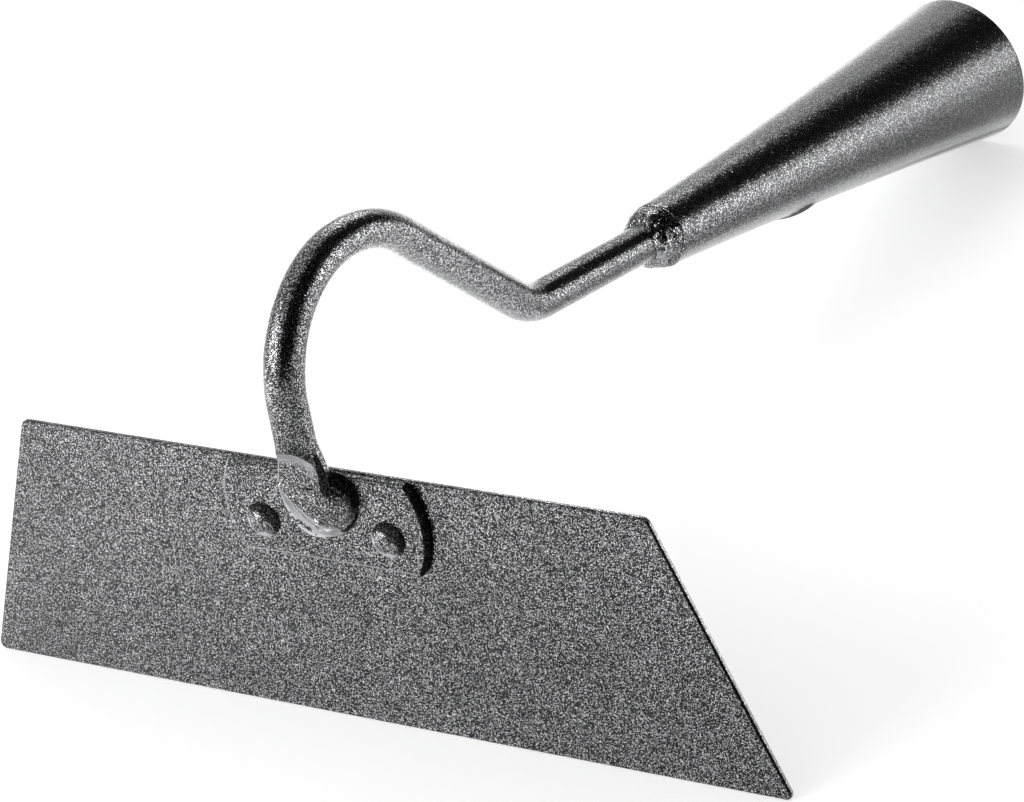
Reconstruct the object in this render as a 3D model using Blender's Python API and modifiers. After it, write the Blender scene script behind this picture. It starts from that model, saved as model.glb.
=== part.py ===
"""Draw hoe head: trapezoid blade, riveted plate, swan neck and conical handle socket.

The pieces are drawn in the blade's own frame. X runs along the cutting edge, the
blade's front face is the plane Y = 0, and Z rises from the cutting edge to the top
edge. The neck stands in front of the blade, arches back over it, dips, and carries
the socket away along +Y. All of them hang from one empty, which leans the head until
it rests on its cutting edge and on the lowest point of the socket's mouth.
"""

import math

import bmesh
import bpy
from mathutils import Matrix, Vector

MM = 0.001
GAP = 0.3 * MM  # left between pieces that touch on the real hoe
SEAM = 0.002 * MM  # points closer than this are one point
AXIS_SEAM = 0.01 * MM  # the same, where a turned profile meets its axis
SMOOTH_LIMIT = math.radians(35)  # a sharper angle between faces stays an edge
QUARTER = math.radians(90)

# Blade: one flat sheet, a symmetric trapezoid with its long side as the cutting edge
EDGE_WIDTH = 200.0 * MM
TOP_WIDTH = 154.0 * MM
BLADE_HEIGHT = 59.0 * MM
BLADE_THICKNESS = 1.2 * MM
TOP_CORNER_RADIUS = 2.2 * MM
TIP_CORNER_RADIUS = 1.5 * MM

# Plate: a strip with arched ends, flush with the blade's top edge
PLATE_HEIGHT = 20.7 * MM
PLATE_HALF_WIDTH = 24.8 * MM
PLATE_END_RADIUS = 19.0 * MM
PLATE_THICKNESS = 1.6 * MM
PLATE_END_POINTS = 17
SHEET_EDGE_ROUND = 0.25 * MM
SHEET_EDGE_LIMIT = math.radians(50)

# Rivets: a domed head on the plate and a low set tail behind the blade
RIVET_SPREAD = 15.45 * MM
RIVET_HEIGHT = 45.9 * MM
RIVET_HEAD_RADIUS = 3.75 * MM
RIVET_HEAD_RISE = 1.9 * MM
RIVET_SHANK_RADIUS = 2.1 * MM
RIVET_TAIL_RADIUS = 3.3 * MM
RIVET_TAIL_RISE = 1.1 * MM
RIVET_SKIRT = 0.35 * MM
RIVET_STEPS = 32
RIVET_HOLE_SIDES = 24

# Neck: one round rod. Its middle plane stands a hair right of the blade's own
MIDDLE_X = 0.8 * MM
ROD_RADIUS = 4.2 * MM
NECK_FRONT = 6.0 * MM  # rod's axis in front of the blade's front face
ARCH_START = 75.8 * MM
ARCH_FRONT_RADIUS = 23.9 * MM
ARCH_BACK_RADIUS = 30.3 * MM
FALL_ANGLE = math.radians(43.25)
FALL_LENGTH = 50.0 * MM
ELBOW_RADIUS = 19.0 * MM
SOCKET_DROP = math.radians(8.7)  # socket's axis below the square to the blade
ELBOW_TO_SOCKET = 50.2 * MM
ROD_INSIDE_SOCKET = 12.0 * MM
ARC_STEP = math.radians(5.0)
ROD_BEVEL_RESOLUTION = 12  # gives 28 sides

# Foot: the rod's lower end, pressed flat against the plate and cut on a slant
FOOT_BOTTOM = 51.4 * MM
FOOT_STATIONS = 22
PRESS_TOP = 68.5 * MM
PRESS_FLAT = 62.8 * MM  # the front face is flat below this height
PRESS_STEP_TOP = 67.6 * MM
PRESS_STEP_CURVE = 1.8
PRESS_FACE = 1.1 * MM  # flat face in front of the rod's axis
PRESS_ROUND = 0.8 * MM
PRESS_BACK_TOP = 64.0 * MM
PRESS_BACK_BOTTOM = 60.0 * MM
SPREAD_LEFT = 2.0 * MM
SPREAD_LEFT_BOTTOM = 58.0 * MM
SPREAD_RIGHT = 1.6 * MM
SPREAD_RIGHT_BOTTOM = 61.5 * MM
SLANT_TOP = 58.6 * MM
SLANT_REACH = 7.8 * MM
SLANT_CURVE = 1.3
END_NARROWING = 1.2 * MM

# Foot weld: a mound of weld metal round the foot, longest from lower left to upper right
FOOT_WELD_LONG = 10.05 * MM
FOOT_WELD_SHORT = 8.9 * MM
FOOT_WELD_RISE = 4.9 * MM
FOOT_WELD_CENTRE_X = 0.7 * MM
FOOT_WELD_CENTRE_Z = 53.7 * MM
FOOT_WELD_TURN = math.radians(35.7)
FOOT_WELD_SEGMENTS = 44
FOOT_WELD_RINGS = 26

# Socket: a rolled cone, a little hollow along its length, its mouth cut askew
SOCKET_LENGTH = 136.6 * MM
SOCKET_SMALL_RADIUS = 7.2 * MM
SOCKET_MOUTH_RADIUS = 18.0 * MM
SOCKET_SAG = 0.75 * MM
SOCKET_WALL = 1.5 * MM
SOCKET_RINGS = 10
SOCKET_STEPS = 64
MOUTH_LOWER_LEAD = 2.9 * MM  # the mouth's lowest point reaches further than its centre
MOUTH_LEFT_LEAD = 1.6 * MM
SPARE_LENGTH = 8.0 * MM  # the cone runs on by this much before its mouth is cut
HOLLOW_OVERRUN = 1.2 * MM  # the hollow starts this far before the small end

# Screw hole: below the socket, in a swelling of the sheet
SCREW_HOLE_RADIUS = 2.5 * MM
SCREW_HOLE_SIDES = 28
SCREW_HOLE_AT = 53.5 * MM
SWELLING_CENTRE = 4.0 * MM
SWELLING_ACROSS = 8.8 * MM
SWELLING_DEEP = 7.5 * MM
SWELLING_ALONG = 15.0 * MM
SWELLING_SEGMENTS = 36
SWELLING_RINGS = 20

# Socket weld: a lumpy collar between the rod and the small end of the cone
COLLAR_LENGTH = 7.6 * MM
COLLAR_RISE = 2.45 * MM
COLLAR_LIP = 0.1 * MM  # thickness at the bead's thin end
COLLAR_CURVE = 2.5
COLLAR_UNEVEN = 0.17  # share by which the bead grows longer and shorter round the rod
COLLAR_LONGEST_AT = math.radians(-28)
COLLAR_TONGUE = 3.0 * MM
COLLAR_STEPS = 48
COLLAR_RINGS = 8
COLLAR_BIG_WAVES = 5
COLLAR_SMALL_WAVES = 13
COLLAR_BIG_LUMP = 0.28 * MM
COLLAR_SMALL_LUMP = 0.12 * MM

PAINT_COLOUR = (0.19, 0.19, 0.195, 1.0)
WELD_COLOUR = (0.21, 0.21, 0.215, 1.0)
PAINT_ROUGHNESS = 0.38
PAINT_METALLIC = 0.75

BLADE_MIDDLE_Y = BLADE_THICKNESS / 2
PLATE_BACK_Y = -GAP
PLATE_FRONT_Y = PLATE_BACK_Y - PLATE_THICKNESS
FOOT_BACK_Y = PLATE_FRONT_Y - GAP


def clear_scene() -> None:
    """Remove whatever the scene holds."""
    for obj in list(bpy.data.objects):
        bpy.data.objects.remove(obj, do_unlink=True)


def new_collection(name: str) -> bpy.types.Collection:
    """Make a collection in the scene."""
    collection = bpy.data.collections.new(name)
    bpy.context.scene.collection.children.link(collection)
    return collection


def paint(name: str, colour: tuple) -> bpy.types.Material:
    """Make the silver-grey metallic paint of one piece."""
    material = bpy.data.materials.new(name)
    material.use_nodes = True
    shader = material.node_tree.nodes["Principled BSDF"]
    shader.inputs["Base Color"].default_value = colour
    shader.inputs["Roughness"].default_value = PAINT_ROUGHNESS
    shader.inputs["Metallic"].default_value = PAINT_METALLIC
    material.diffuse_color = colour
    return material


def mesh_object(name: str, mesh: bpy.types.Mesh, collection: bpy.types.Collection) -> bpy.types.Object:
    """Put a mesh in the scene as a named object."""
    obj = bpy.data.objects.new(name, mesh)
    collection.objects.link(obj)
    return obj


def shade_round(obj: bpy.types.Object) -> None:
    """Shade a round piece smooth, keeping its true edges sharp."""
    obj.data.shade_smooth()
    obj.data.set_sharp_from_angle(angle=SMOOTH_LIMIT)


def as_mesh(source: bpy.types.Object, collection: bpy.types.Collection) -> bpy.types.Object:
    """Turn an evaluated curve or modifier stack into a welded mesh object in its place."""
    graph = bpy.context.evaluated_depsgraph_get()
    mesh = bpy.data.meshes.new_from_object(source.evaluated_get(graph))
    name = source.name
    place = source.matrix_world.copy()
    bpy.data.objects.remove(source, do_unlink=True)
    work = bmesh.new()
    work.from_mesh(mesh)
    bmesh.ops.remove_doubles(work, verts=work.verts, dist=SEAM)
    work.to_mesh(mesh)
    work.free()
    obj = mesh_object(name, mesh, collection)
    obj.matrix_world = place
    return obj


def hide_cutter(cutter: bpy.types.Object) -> None:
    """Keep a cutter out of the finished object."""
    cutter.hide_render = True
    cutter.display_type = "WIRE"


def add_boolean(obj: bpy.types.Object, other: bpy.types.Object, operation: str) -> None:
    """Cut another solid from an object, or join it to the object."""
    modifier = obj.modifiers.new(f"{operation.lower()}_{other.name}", "BOOLEAN")
    modifier.operation = operation
    modifier.object = other
    modifier.solver = "EXACT"
    hide_cutter(other)


def arc(centre: tuple, radius: float, start: float, end: float, count: int) -> list:
    """Give the points of a circular arc, both ends included."""
    turn = (end - start) / (count - 1)
    return [
        (
            centre[0] + radius * math.cos(start + turn * step),
            centre[1] + radius * math.sin(start + turn * step),
        )
        for step in range(count)
    ]


def rounded_corner(before: tuple, corner: tuple, after: tuple, radius: float, count: int = 7) -> list:
    """Round one corner of an outline that runs anticlockwise."""
    here = Vector(corner)
    inward = (Vector(before) - here).normalized()
    onward = (Vector(after) - here).normalized()
    half = inward.angle(onward) / 2
    centre = here + (inward + onward).normalized() * (radius / math.sin(half))
    first = here + inward * (radius / math.tan(half)) - centre
    start = math.atan2(first.y, first.x)
    return arc(centre, radius, start, start + math.pi - 2 * half, count)


def flat_piece(
    name: str, outlines: list, thickness: float, place: tuple, collection: bpy.types.Collection
) -> bpy.types.Object:
    """Cut a flat sheet from closed outlines in X and Z, the first outside and the rest holes."""
    curve = bpy.data.curves.new(name, "CURVE")
    curve.dimensions = "2D"
    curve.fill_mode = "BOTH"
    curve.extrude = thickness / 2
    for outline in outlines:
        spline = curve.splines.new("POLY")
        spline.points.add(len(outline) - 1)
        spline.use_cyclic_u = True
        for point, (across, up) in zip(spline.points, outline):
            point.co = (across, up, 0.0, 1.0)
    sheet = bpy.data.objects.new(name, curve)
    collection.objects.link(sheet)
    sheet.rotation_euler = (QUARTER, 0.0, 0.0)
    sheet.location = place
    bpy.context.view_layer.update()
    sheet = as_mesh(sheet, collection)
    edge = sheet.modifiers.new("rounded_edges", "BEVEL")
    edge.width = SHEET_EDGE_ROUND
    edge.segments = 2
    edge.limit_method = "ANGLE"
    edge.angle_limit = SHEET_EDGE_LIMIT
    return sheet


def rivet_holes() -> list:
    """Give the outlines of the two rivet holes, with the shanks' clearance."""
    last = math.tau * (1 - 1 / RIVET_HOLE_SIDES)
    radius = RIVET_SHANK_RADIUS + GAP
    centres = [(side * RIVET_SPREAD, RIVET_HEIGHT) for side in (-1, 1)]
    return [arc(centre, radius, 0.0, last, RIVET_HOLE_SIDES) for centre in centres]


def build_blade(collection: bpy.types.Collection) -> bpy.types.Object:
    """Build the trapezoid blade."""
    corners = [
        ((-EDGE_WIDTH / 2, 0.0), TIP_CORNER_RADIUS),
        ((EDGE_WIDTH / 2, 0.0), TIP_CORNER_RADIUS),
        ((TOP_WIDTH / 2, BLADE_HEIGHT), TOP_CORNER_RADIUS),
        ((-TOP_WIDTH / 2, BLADE_HEIGHT), TOP_CORNER_RADIUS),
    ]
    outline = []
    for index, (corner, radius) in enumerate(corners):
        before = corners[index - 1][0]
        after = corners[(index + 1) % len(corners)][0]
        outline += rounded_corner(before, corner, after, radius)
    place = (0.0, BLADE_MIDDLE_Y, 0.0)
    return flat_piece("blade", [outline, *rivet_holes()], BLADE_THICKNESS, place, collection)


def build_plate(collection: bpy.types.Collection) -> bpy.types.Object:
    """Build the reinforcing plate, a strip with two arched ends."""
    middle_z = BLADE_HEIGHT - PLATE_HEIGHT / 2
    swing = math.asin(PLATE_HEIGHT / 2 / PLATE_END_RADIUS)
    reach = PLATE_HALF_WIDTH - PLATE_END_RADIUS
    right = arc((reach, middle_z), PLATE_END_RADIUS, -swing, swing, PLATE_END_POINTS)
    left = arc((-reach, middle_z), PLATE_END_RADIUS, math.pi - swing, math.pi + swing, PLATE_END_POINTS)
    place = (0.0, (PLATE_BACK_Y + PLATE_FRONT_Y) / 2, 0.0)
    outlines = [right + left, *rivet_holes()]
    return flat_piece("reinforcing_plate", outlines, PLATE_THICKNESS, place, collection)


def turned(name: str, profile: list, steps: int, collection: bpy.types.Collection) -> bpy.types.Object:
    """Turn a profile of (radius, height) points about Z, from the top down the outer side."""
    mesh = bpy.data.meshes.new(name)
    vertices = [(radius, 0.0, height) for radius, height in profile]
    edges = [(step, step + 1) for step in range(len(profile) - 1)]
    if profile[0][0] > 0.0:
        edges.append((len(profile) - 1, 0))
    mesh.from_pydata(vertices, edges, [])
    obj = mesh_object(name, mesh, collection)
    screw = obj.modifiers.new("turn", "SCREW")
    screw.axis = "Z"
    screw.steps = steps
    screw.render_steps = steps
    screw.use_merge_vertices = True
    screw.merge_threshold = AXIS_SEAM
    bpy.context.view_layer.update()
    return obj


def rivet_profile() -> list:
    """Give a rivet's side, from the head's crown to the tail, with Z = 0 on the blade's front."""
    seat = -PLATE_FRONT_Y + GAP
    back = -BLADE_THICKNESS - GAP
    dome_rise = RIVET_HEAD_RISE - RIVET_SKIRT
    dome = [
        (RIVET_HEAD_RADIUS * math.sin(angle), seat + RIVET_SKIRT + dome_rise * math.cos(angle))
        for angle in (math.radians(degrees) for degrees in range(0, 91, 10))
    ]
    shank = [
        (RIVET_HEAD_RADIUS, seat),
        (RIVET_SHANK_RADIUS, seat),
        (RIVET_SHANK_RADIUS, back),
        (RIVET_TAIL_RADIUS, back),
    ]
    tail = [
        (RIVET_TAIL_RADIUS * math.cos(angle), back - RIVET_TAIL_RISE * math.sin(angle))
        for angle in (math.radians(degrees) for degrees in range(15, 91, 15))
    ]
    return [(0.0, dome[0][1]), *dome[1:], *shank, *tail[:-1], (0.0, tail[-1][1])]


def build_rivet(name: str, side: int, collection: bpy.types.Collection) -> bpy.types.Object:
    """Build one rivet through the plate and the blade."""
    rivet = turned(name, rivet_profile(), RIVET_STEPS, collection)
    rivet.rotation_euler = (QUARTER, 0.0, 0.0)
    rivet.location = (side * RIVET_SPREAD, 0.0, RIVET_HEIGHT)
    return rivet


def smooth_step(value: float, low: float, high: float) -> float:
    """Rise from 0 at low to 1 at high with level ends."""
    share = min(max((value - low) / (high - low), 0.0), 1.0)
    return share * share * (3 - 2 * share)


def soft_min(first: float, second: float, blend: float) -> float:
    """Give the smaller of two values, rounded off where they are within a blend of each other."""
    if blend <= 0.0:
        return min(first, second)
    near = max(blend - abs(first - second), 0.0) / blend
    return min(first, second) - near * near * blend / 4


def along(start: tuple, heading: float, distance: float) -> tuple:
    """Step from a point in Y and Z along a heading."""
    return start[0] + distance * math.cos(heading), start[1] + distance * math.sin(heading)


def bend(start: tuple, heading: float, turn: float, radius: float) -> list:
    """Give the points of a bend in Y and Z, its two ends included. A positive turn curls upwards."""
    side = math.copysign(QUARTER, turn)
    centre = along(start, heading + side, radius)
    count = round(abs(turn) / ARC_STEP)
    return [along(centre, heading + turn * step / count - side, radius) for step in range(count + 1)]


def foot_path() -> list:
    """Give the closely spaced points of the upright's pressed stretch."""
    step = (PRESS_TOP - FOOT_BOTTOM) / (FOOT_STATIONS - 1)
    return [(-NECK_FRONT, FOOT_BOTTOM + step * station) for station in range(FOOT_STATIONS)]


def arch_path() -> list:
    """Give the points of the arch, from the top of the upright to the falling run."""
    front = bend((-NECK_FRONT, ARCH_START), QUARTER, -QUARTER, ARCH_FRONT_RADIUS)
    return front + bend(front[-1], 0.0, -FALL_ANGLE, ARCH_BACK_RADIUS)[1:]


def elbow_corner() -> tuple:
    """Give the point in Y and Z where the falling run's axis meets the socket's axis."""
    return along(arch_path()[-1], -FALL_ANGLE, FALL_LENGTH)


def neck_path() -> list:
    """Give the whole rod's axis in Y and Z, from the foot to its end in the socket."""
    corner = elbow_corner()
    turn = FALL_ANGLE - SOCKET_DROP
    trim = ELBOW_RADIUS * math.tan(turn / 2)
    elbow = bend(along(corner, -FALL_ANGLE, -trim), -FALL_ANGLE, turn, ELBOW_RADIUS)
    end = along(corner, -SOCKET_DROP, ELBOW_TO_SOCKET + ROD_INSIDE_SOCKET)
    return [*foot_path(), *arch_path(), *elbow, end]


def round_rod(name: str, path: list, radius: float, collection: bpy.types.Collection) -> bpy.types.Object:
    """Run a round rod along a path in the neck's middle plane."""
    curve = bpy.data.curves.new(name, "CURVE")
    curve.dimensions = "3D"
    curve.bevel_depth = radius
    curve.bevel_resolution = ROD_BEVEL_RESOLUTION
    curve.use_fill_caps = True
    spline = curve.splines.new("POLY")
    spline.points.add(len(path) - 1)
    for point, (depth, height) in zip(spline.points, path):
        point.co = (MIDDLE_X, depth, height, 1.0)
    rod = bpy.data.objects.new(name, curve)
    collection.objects.link(rod)
    bpy.context.view_layer.update()
    return as_mesh(rod, collection)


def foot_sides(height: float) -> tuple:
    """Give how far the pressed foot reaches left and right of the rod's axis at a height."""
    left = ROD_RADIUS + SPREAD_LEFT * smooth_step(-height, -PRESS_TOP, -SPREAD_LEFT_BOTTOM)
    right = ROD_RADIUS + SPREAD_RIGHT * smooth_step(-height, -PRESS_TOP, -SPREAD_RIGHT_BOTTOM)
    below = max(SLANT_TOP - height, 0.0) / (SLANT_TOP - FOOT_BOTTOM)
    return left - SLANT_REACH * below**SLANT_CURVE, right - END_NARROWING * below**2


def press_foot(rod: bpy.types.Object, grow: float) -> None:
    """Press the rod's lower end flat in front and behind, spread it and slant its left side."""
    pressed_back = FOOT_BACK_Y + NECK_FRONT
    for vertex in rod.data.vertices:
        height = vertex.co.z
        if vertex.co.y > 0.0 or height > PRESS_TOP:
            continue
        across = (vertex.co.x - MIDDLE_X) / (ROD_RADIUS + grow)
        front = -vertex.co.y - NECK_FRONT
        left, right = foot_sides(height)
        vertex.co.x = MIDDLE_X + (right - left) / 2 + across * ((right + left) / 2 + grow)
        rise = min(max((height - PRESS_FLAT) / (PRESS_STEP_TOP - PRESS_FLAT), 0.0), 1.0)
        face = PRESS_FACE + (ROD_RADIUS - PRESS_FACE) * rise**PRESS_STEP_CURVE + grow
        lift = smooth_step(height, PRESS_BACK_BOTTOM, PRESS_BACK_TOP)
        seat = pressed_back + (ROD_RADIUS - pressed_back) * lift + grow
        if front > 0.0:
            vertex.co.y = -NECK_FRONT - soft_min(front, face, PRESS_ROUND * (1 - rise))
        else:
            vertex.co.y = -NECK_FRONT + soft_min(-front, seat, PRESS_ROUND * (1 - lift))


def build_neck(collection: bpy.types.Collection) -> bpy.types.Object:
    """Build the swan neck with its pressed foot."""
    neck = round_rod("neck_rod", neck_path(), ROD_RADIUS, collection)
    press_foot(neck, 0.0)
    return neck


def box_cutter(name: str, low: tuple, high: tuple, collection: bpy.types.Collection) -> bpy.types.Object:
    """Make a box between two corners."""
    work = bmesh.new()
    size = [top - bottom for bottom, top in zip(low, high)]
    middle = [(top + bottom) / 2 for bottom, top in zip(low, high)]
    place = Matrix.Translation(middle) @ Matrix.Diagonal((*size, 1.0))
    bmesh.ops.create_cube(work, size=1.0, matrix=place)
    mesh = bpy.data.meshes.new(name)
    work.to_mesh(mesh)
    work.free()
    return mesh_object(name, mesh, collection)


def ellipsoid(
    name: str, half_sizes: tuple, place: Matrix, segments: int, rings: int, collection: bpy.types.Collection
) -> bpy.types.Object:
    """Make an ellipsoid with its half sizes along its own axes, set by a placing matrix."""
    work = bmesh.new()
    stretched = place @ Matrix.Diagonal((*half_sizes, 1.0))
    bmesh.ops.create_uvsphere(work, u_segments=segments, v_segments=rings, radius=1.0, matrix=stretched)
    mesh = bpy.data.meshes.new(name)
    work.to_mesh(mesh)
    work.free()
    return mesh_object(name, mesh, collection)


def build_foot_weld(collection: bpy.types.Collection, cutters: bpy.types.Collection) -> bpy.types.Object:
    """Build the mound of weld round the foot, cut flat on the plate and open for the rod."""
    middle = (FOOT_WELD_CENTRE_X, FOOT_BACK_Y, FOOT_WELD_CENTRE_Z)
    place = Matrix.Translation(middle) @ Matrix.Rotation(-FOOT_WELD_TURN, 4, "Y")
    half_sizes = (FOOT_WELD_LONG, FOOT_WELD_RISE, FOOT_WELD_SHORT)
    weld = ellipsoid("foot_weld", half_sizes, place, FOOT_WELD_SEGMENTS, FOOT_WELD_RINGS, collection)
    reach = 2 * FOOT_WELD_LONG
    behind = box_cutter(
        "behind_plate_front",
        (-reach, FOOT_BACK_Y, FOOT_WELD_CENTRE_Z - reach),
        (reach, FOOT_BACK_Y + reach, FOOT_WELD_CENTRE_Z + reach),
        cutters,
    )
    above = box_cutter(
        "above_plate_top",
        (-reach, FOOT_BACK_Y - reach, BLADE_HEIGHT),
        (reach, FOOT_BACK_Y + reach, BLADE_HEIGHT + reach),
        cutters,
    )
    clearance = [(-NECK_FRONT, FOOT_BOTTOM - GAP), *foot_path()[1:]]
    foot = round_rod("foot_clearance", clearance, ROD_RADIUS + GAP, cutters)
    press_foot(foot, GAP)
    add_boolean(weld, behind, "DIFFERENCE")
    add_boolean(weld, above, "DIFFERENCE")
    add_boolean(weld, foot, "DIFFERENCE")
    return weld


def socket_radius(distance: float) -> float:
    """Give the cone's outer radius at a distance from its small end."""
    share = distance / SOCKET_LENGTH
    straight = SOCKET_SMALL_RADIUS + (SOCKET_MOUTH_RADIUS - SOCKET_SMALL_RADIUS) * share
    return straight - 4 * SOCKET_SAG * share * (1 - share)


def place_on_axis(obj: bpy.types.Object) -> None:
    """Stand a piece drawn about Z on the socket's axis, zero at the small end and +Y downwards."""
    small_end = along(elbow_corner(), -SOCKET_DROP, ELBOW_TO_SOCKET)
    obj.location = (MIDDLE_X, *small_end)
    obj.rotation_euler = (-SOCKET_DROP - QUARTER, 0.0, 0.0)


def cone_profile(inset: float, low: float, high: float) -> list:
    """Give a closed profile of the cone between two distances, taken in by an inset."""
    step = (high - low) / SOCKET_RINGS
    distances = [high - step * ring for ring in range(SOCKET_RINGS + 1)]
    side = [(socket_radius(distance) - inset, distance) for distance in distances]
    return [(0.0, high), *side, (0.0, low)]


def mouth_normal() -> Vector:
    """Give the outward normal of the mouth's plane in the socket's own frame."""
    return Vector((MOUTH_LEFT_LEAD, -MOUTH_LOWER_LEAD, SOCKET_MOUTH_RADIUS)).normalized()


def mouth_cutter(collection: bpy.types.Collection) -> bpy.types.Object:
    """Make the block that cuts the mouth askew."""
    side = 4 * SOCKET_MOUTH_RADIUS
    work = bmesh.new()
    square = Vector((0.0, 0.0, 1.0)).rotation_difference(mouth_normal()).to_matrix().to_4x4()
    place = Matrix.Translation((0.0, 0.0, SOCKET_LENGTH)) @ square @ Matrix.Translation((0.0, 0.0, side / 2))
    bmesh.ops.create_cube(work, size=side, matrix=place)
    mesh = bpy.data.meshes.new("beyond_mouth")
    work.to_mesh(mesh)
    work.free()
    return mesh_object("beyond_mouth", mesh, collection)


def screw_pin(collection: bpy.types.Collection) -> bpy.types.Object:
    """Make the cylinder that cuts the screw hole through the underside."""
    high = 2 * socket_radius(SCREW_HOLE_AT)
    work = bmesh.new()
    place = Matrix.Translation((0.0, high / 2, SCREW_HOLE_AT)) @ Matrix.Rotation(QUARTER, 4, "X")
    bmesh.ops.create_cone(
        work,
        cap_ends=True,
        segments=SCREW_HOLE_SIDES,
        radius1=SCREW_HOLE_RADIUS,
        radius2=SCREW_HOLE_RADIUS,
        depth=high,
        matrix=place,
    )
    mesh = bpy.data.meshes.new("screw_hole")
    work.to_mesh(mesh)
    work.free()
    return mesh_object("screw_hole", mesh, collection)


def build_socket(collection: bpy.types.Collection, cutters: bpy.types.Collection) -> bpy.types.Object:
    """Build the hollow cone with its screw hole."""
    outside = cone_profile(0.0, 0.0, SOCKET_LENGTH + SPARE_LENGTH)
    socket = turned("socket", outside, SOCKET_STEPS, collection)
    inside = cone_profile(SOCKET_WALL, -HOLLOW_OVERRUN, SOCKET_LENGTH + 2 * SPARE_LENGTH)
    hollow = turned("socket_hollow", inside, SOCKET_STEPS, cutters)
    half_sizes = (SWELLING_ACROSS, SWELLING_DEEP, SWELLING_ALONG)
    place = Matrix.Translation((0.0, SWELLING_CENTRE, SCREW_HOLE_AT))
    swelling = ellipsoid(
        "screw_hole_swelling", half_sizes, place, SWELLING_SEGMENTS, SWELLING_RINGS, cutters
    )
    pin = screw_pin(cutters)
    beyond = mouth_cutter(cutters)
    for piece in (socket, hollow, swelling, pin, beyond):
        place_on_axis(piece)
    bpy.context.view_layer.update()
    add_boolean(socket, swelling, "UNION")
    add_boolean(socket, beyond, "DIFFERENCE")
    add_boolean(socket, hollow, "DIFFERENCE")
    add_boolean(socket, pin, "DIFFERENCE")
    return socket


def collar_profile() -> list:
    """Give the collar's closed section, down its outside from the cone to the rod."""
    inner = ROD_RADIUS + GAP
    tongue = SOCKET_SMALL_RADIUS - SOCKET_WALL - GAP
    outside = []
    for ring in range(COLLAR_RINGS + 1):
        share = math.sin(QUARTER * ring / COLLAR_RINGS)
        radius = inner + COLLAR_RISE * (1 - share**COLLAR_CURVE) + COLLAR_LIP
        outside.append((radius, -GAP - COLLAR_LENGTH * share))
    bottom = outside[-1][1]
    return [(inner, COLLAR_TONGUE), (tongue, COLLAR_TONGUE), (tongue, -GAP), *outside, (inner, bottom)]


def build_socket_weld(collection: bpy.types.Collection) -> bpy.types.Object:
    """Build the collar of weld, with lumps round its outside."""
    collar = as_mesh(turned("socket_weld", collar_profile(), COLLAR_STEPS, collection), collection)
    inner = ROD_RADIUS + GAP
    for vertex in collar.data.vertices:
        if vertex.co.z > -GAP / 2:
            continue
        radius = math.hypot(vertex.co.x, vertex.co.y)
        angle = math.atan2(vertex.co.y, vertex.co.x)
        proud = max(radius - inner, 0.0) / COLLAR_RISE
        phase = vertex.co.z / COLLAR_LENGTH
        lump = COLLAR_BIG_LUMP * math.sin(COLLAR_BIG_WAVES * angle + phase)
        lump += COLLAR_SMALL_LUMP * math.sin(COLLAR_SMALL_WAVES * angle + 3 * phase)
        scale = 1 + proud * lump / radius
        vertex.co.x *= scale
        vertex.co.y *= scale
        length = 1 - COLLAR_UNEVEN + COLLAR_UNEVEN * math.cos(2 * (angle - COLLAR_LONGEST_AT))
        vertex.co.z = -GAP + (vertex.co.z + GAP) * length
    place_on_axis(collar)
    return collar


def resting_lean() -> float:
    """Give the angle that brings the socket's mouth and the cutting edge to one level."""
    reach = SOCKET_LENGTH + MOUTH_LOWER_LEAD
    mouth = along(elbow_corner(), -SOCKET_DROP, ELBOW_TO_SOCKET + reach)
    lowest = along(mouth, -SOCKET_DROP - QUARTER, socket_radius(reach))
    return math.atan2(lowest[1], lowest[0] - BLADE_THICKNESS)


def set_down(parts: list, cutters: list, root: bpy.types.Object) -> None:
    """Hang everything from the empty, lean it to rest and centre the parts over the origin."""
    for obj in [*parts, *cutters]:
        obj.parent = root
    root.rotation_euler = (-resting_lean(), 0.0, 0.0)
    bpy.context.view_layer.update()
    graph = bpy.context.evaluated_depsgraph_get()
    corners = []
    for obj in parts:
        evaluated = obj.evaluated_get(graph)
        mesh = evaluated.to_mesh()
        corners += [obj.matrix_world @ vertex.co for vertex in mesh.vertices]
        evaluated.to_mesh_clear()
    low = [min(point[axis] for point in corners) for axis in range(3)]
    high = [max(point[axis] for point in corners) for axis in range(3)]
    root.location = (-(low[0] + high[0]) / 2, -(low[1] + high[1]) / 2, -low[2])
    bpy.context.view_layer.update()


def build() -> None:
    """Build every piece of the hoe head and set it down."""
    clear_scene()
    pieces = new_collection("draw_hoe_head")
    cutters = new_collection("cutters")
    parts = [
        build_blade(pieces),
        build_plate(pieces),
        build_rivet("rivet_left", -1, pieces),
        build_rivet("rivet_right", 1, pieces),
        build_neck(pieces),
        build_foot_weld(pieces, cutters),
        build_socket(pieces, cutters),
        build_socket_weld(pieces),
    ]
    for obj in parts:
        colour = WELD_COLOUR if obj.name.endswith("weld") else PAINT_COLOUR
        obj.data.materials.append(paint(f"{obj.name}_paint", colour))
        shade_round(obj)
    root = bpy.data.objects.new("hoe_head_rest", None)
    pieces.objects.link(root)
    set_down(parts, list(cutters.objects), root)


build()
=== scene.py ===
"""Looks of a draw hoe head: grey speckled coat, swan neck, welds, riveted plate, handle socket.

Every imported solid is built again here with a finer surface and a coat. The blade, the plate,
the rivets, the neck and the weld at its foot are made in the blade's own frame: X along the
cutting edge, Y = 0 on the blade's front face, Z up from the cutting edge. The socket and its
collar are made round the socket's axis. Sizes are in millimetres until a mesh is made.
"""

import logging
import math
from dataclasses import dataclass
from enum import Enum

import bmesh
import bpy
import numpy as np
from mathutils import Matrix, Vector, noise


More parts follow.
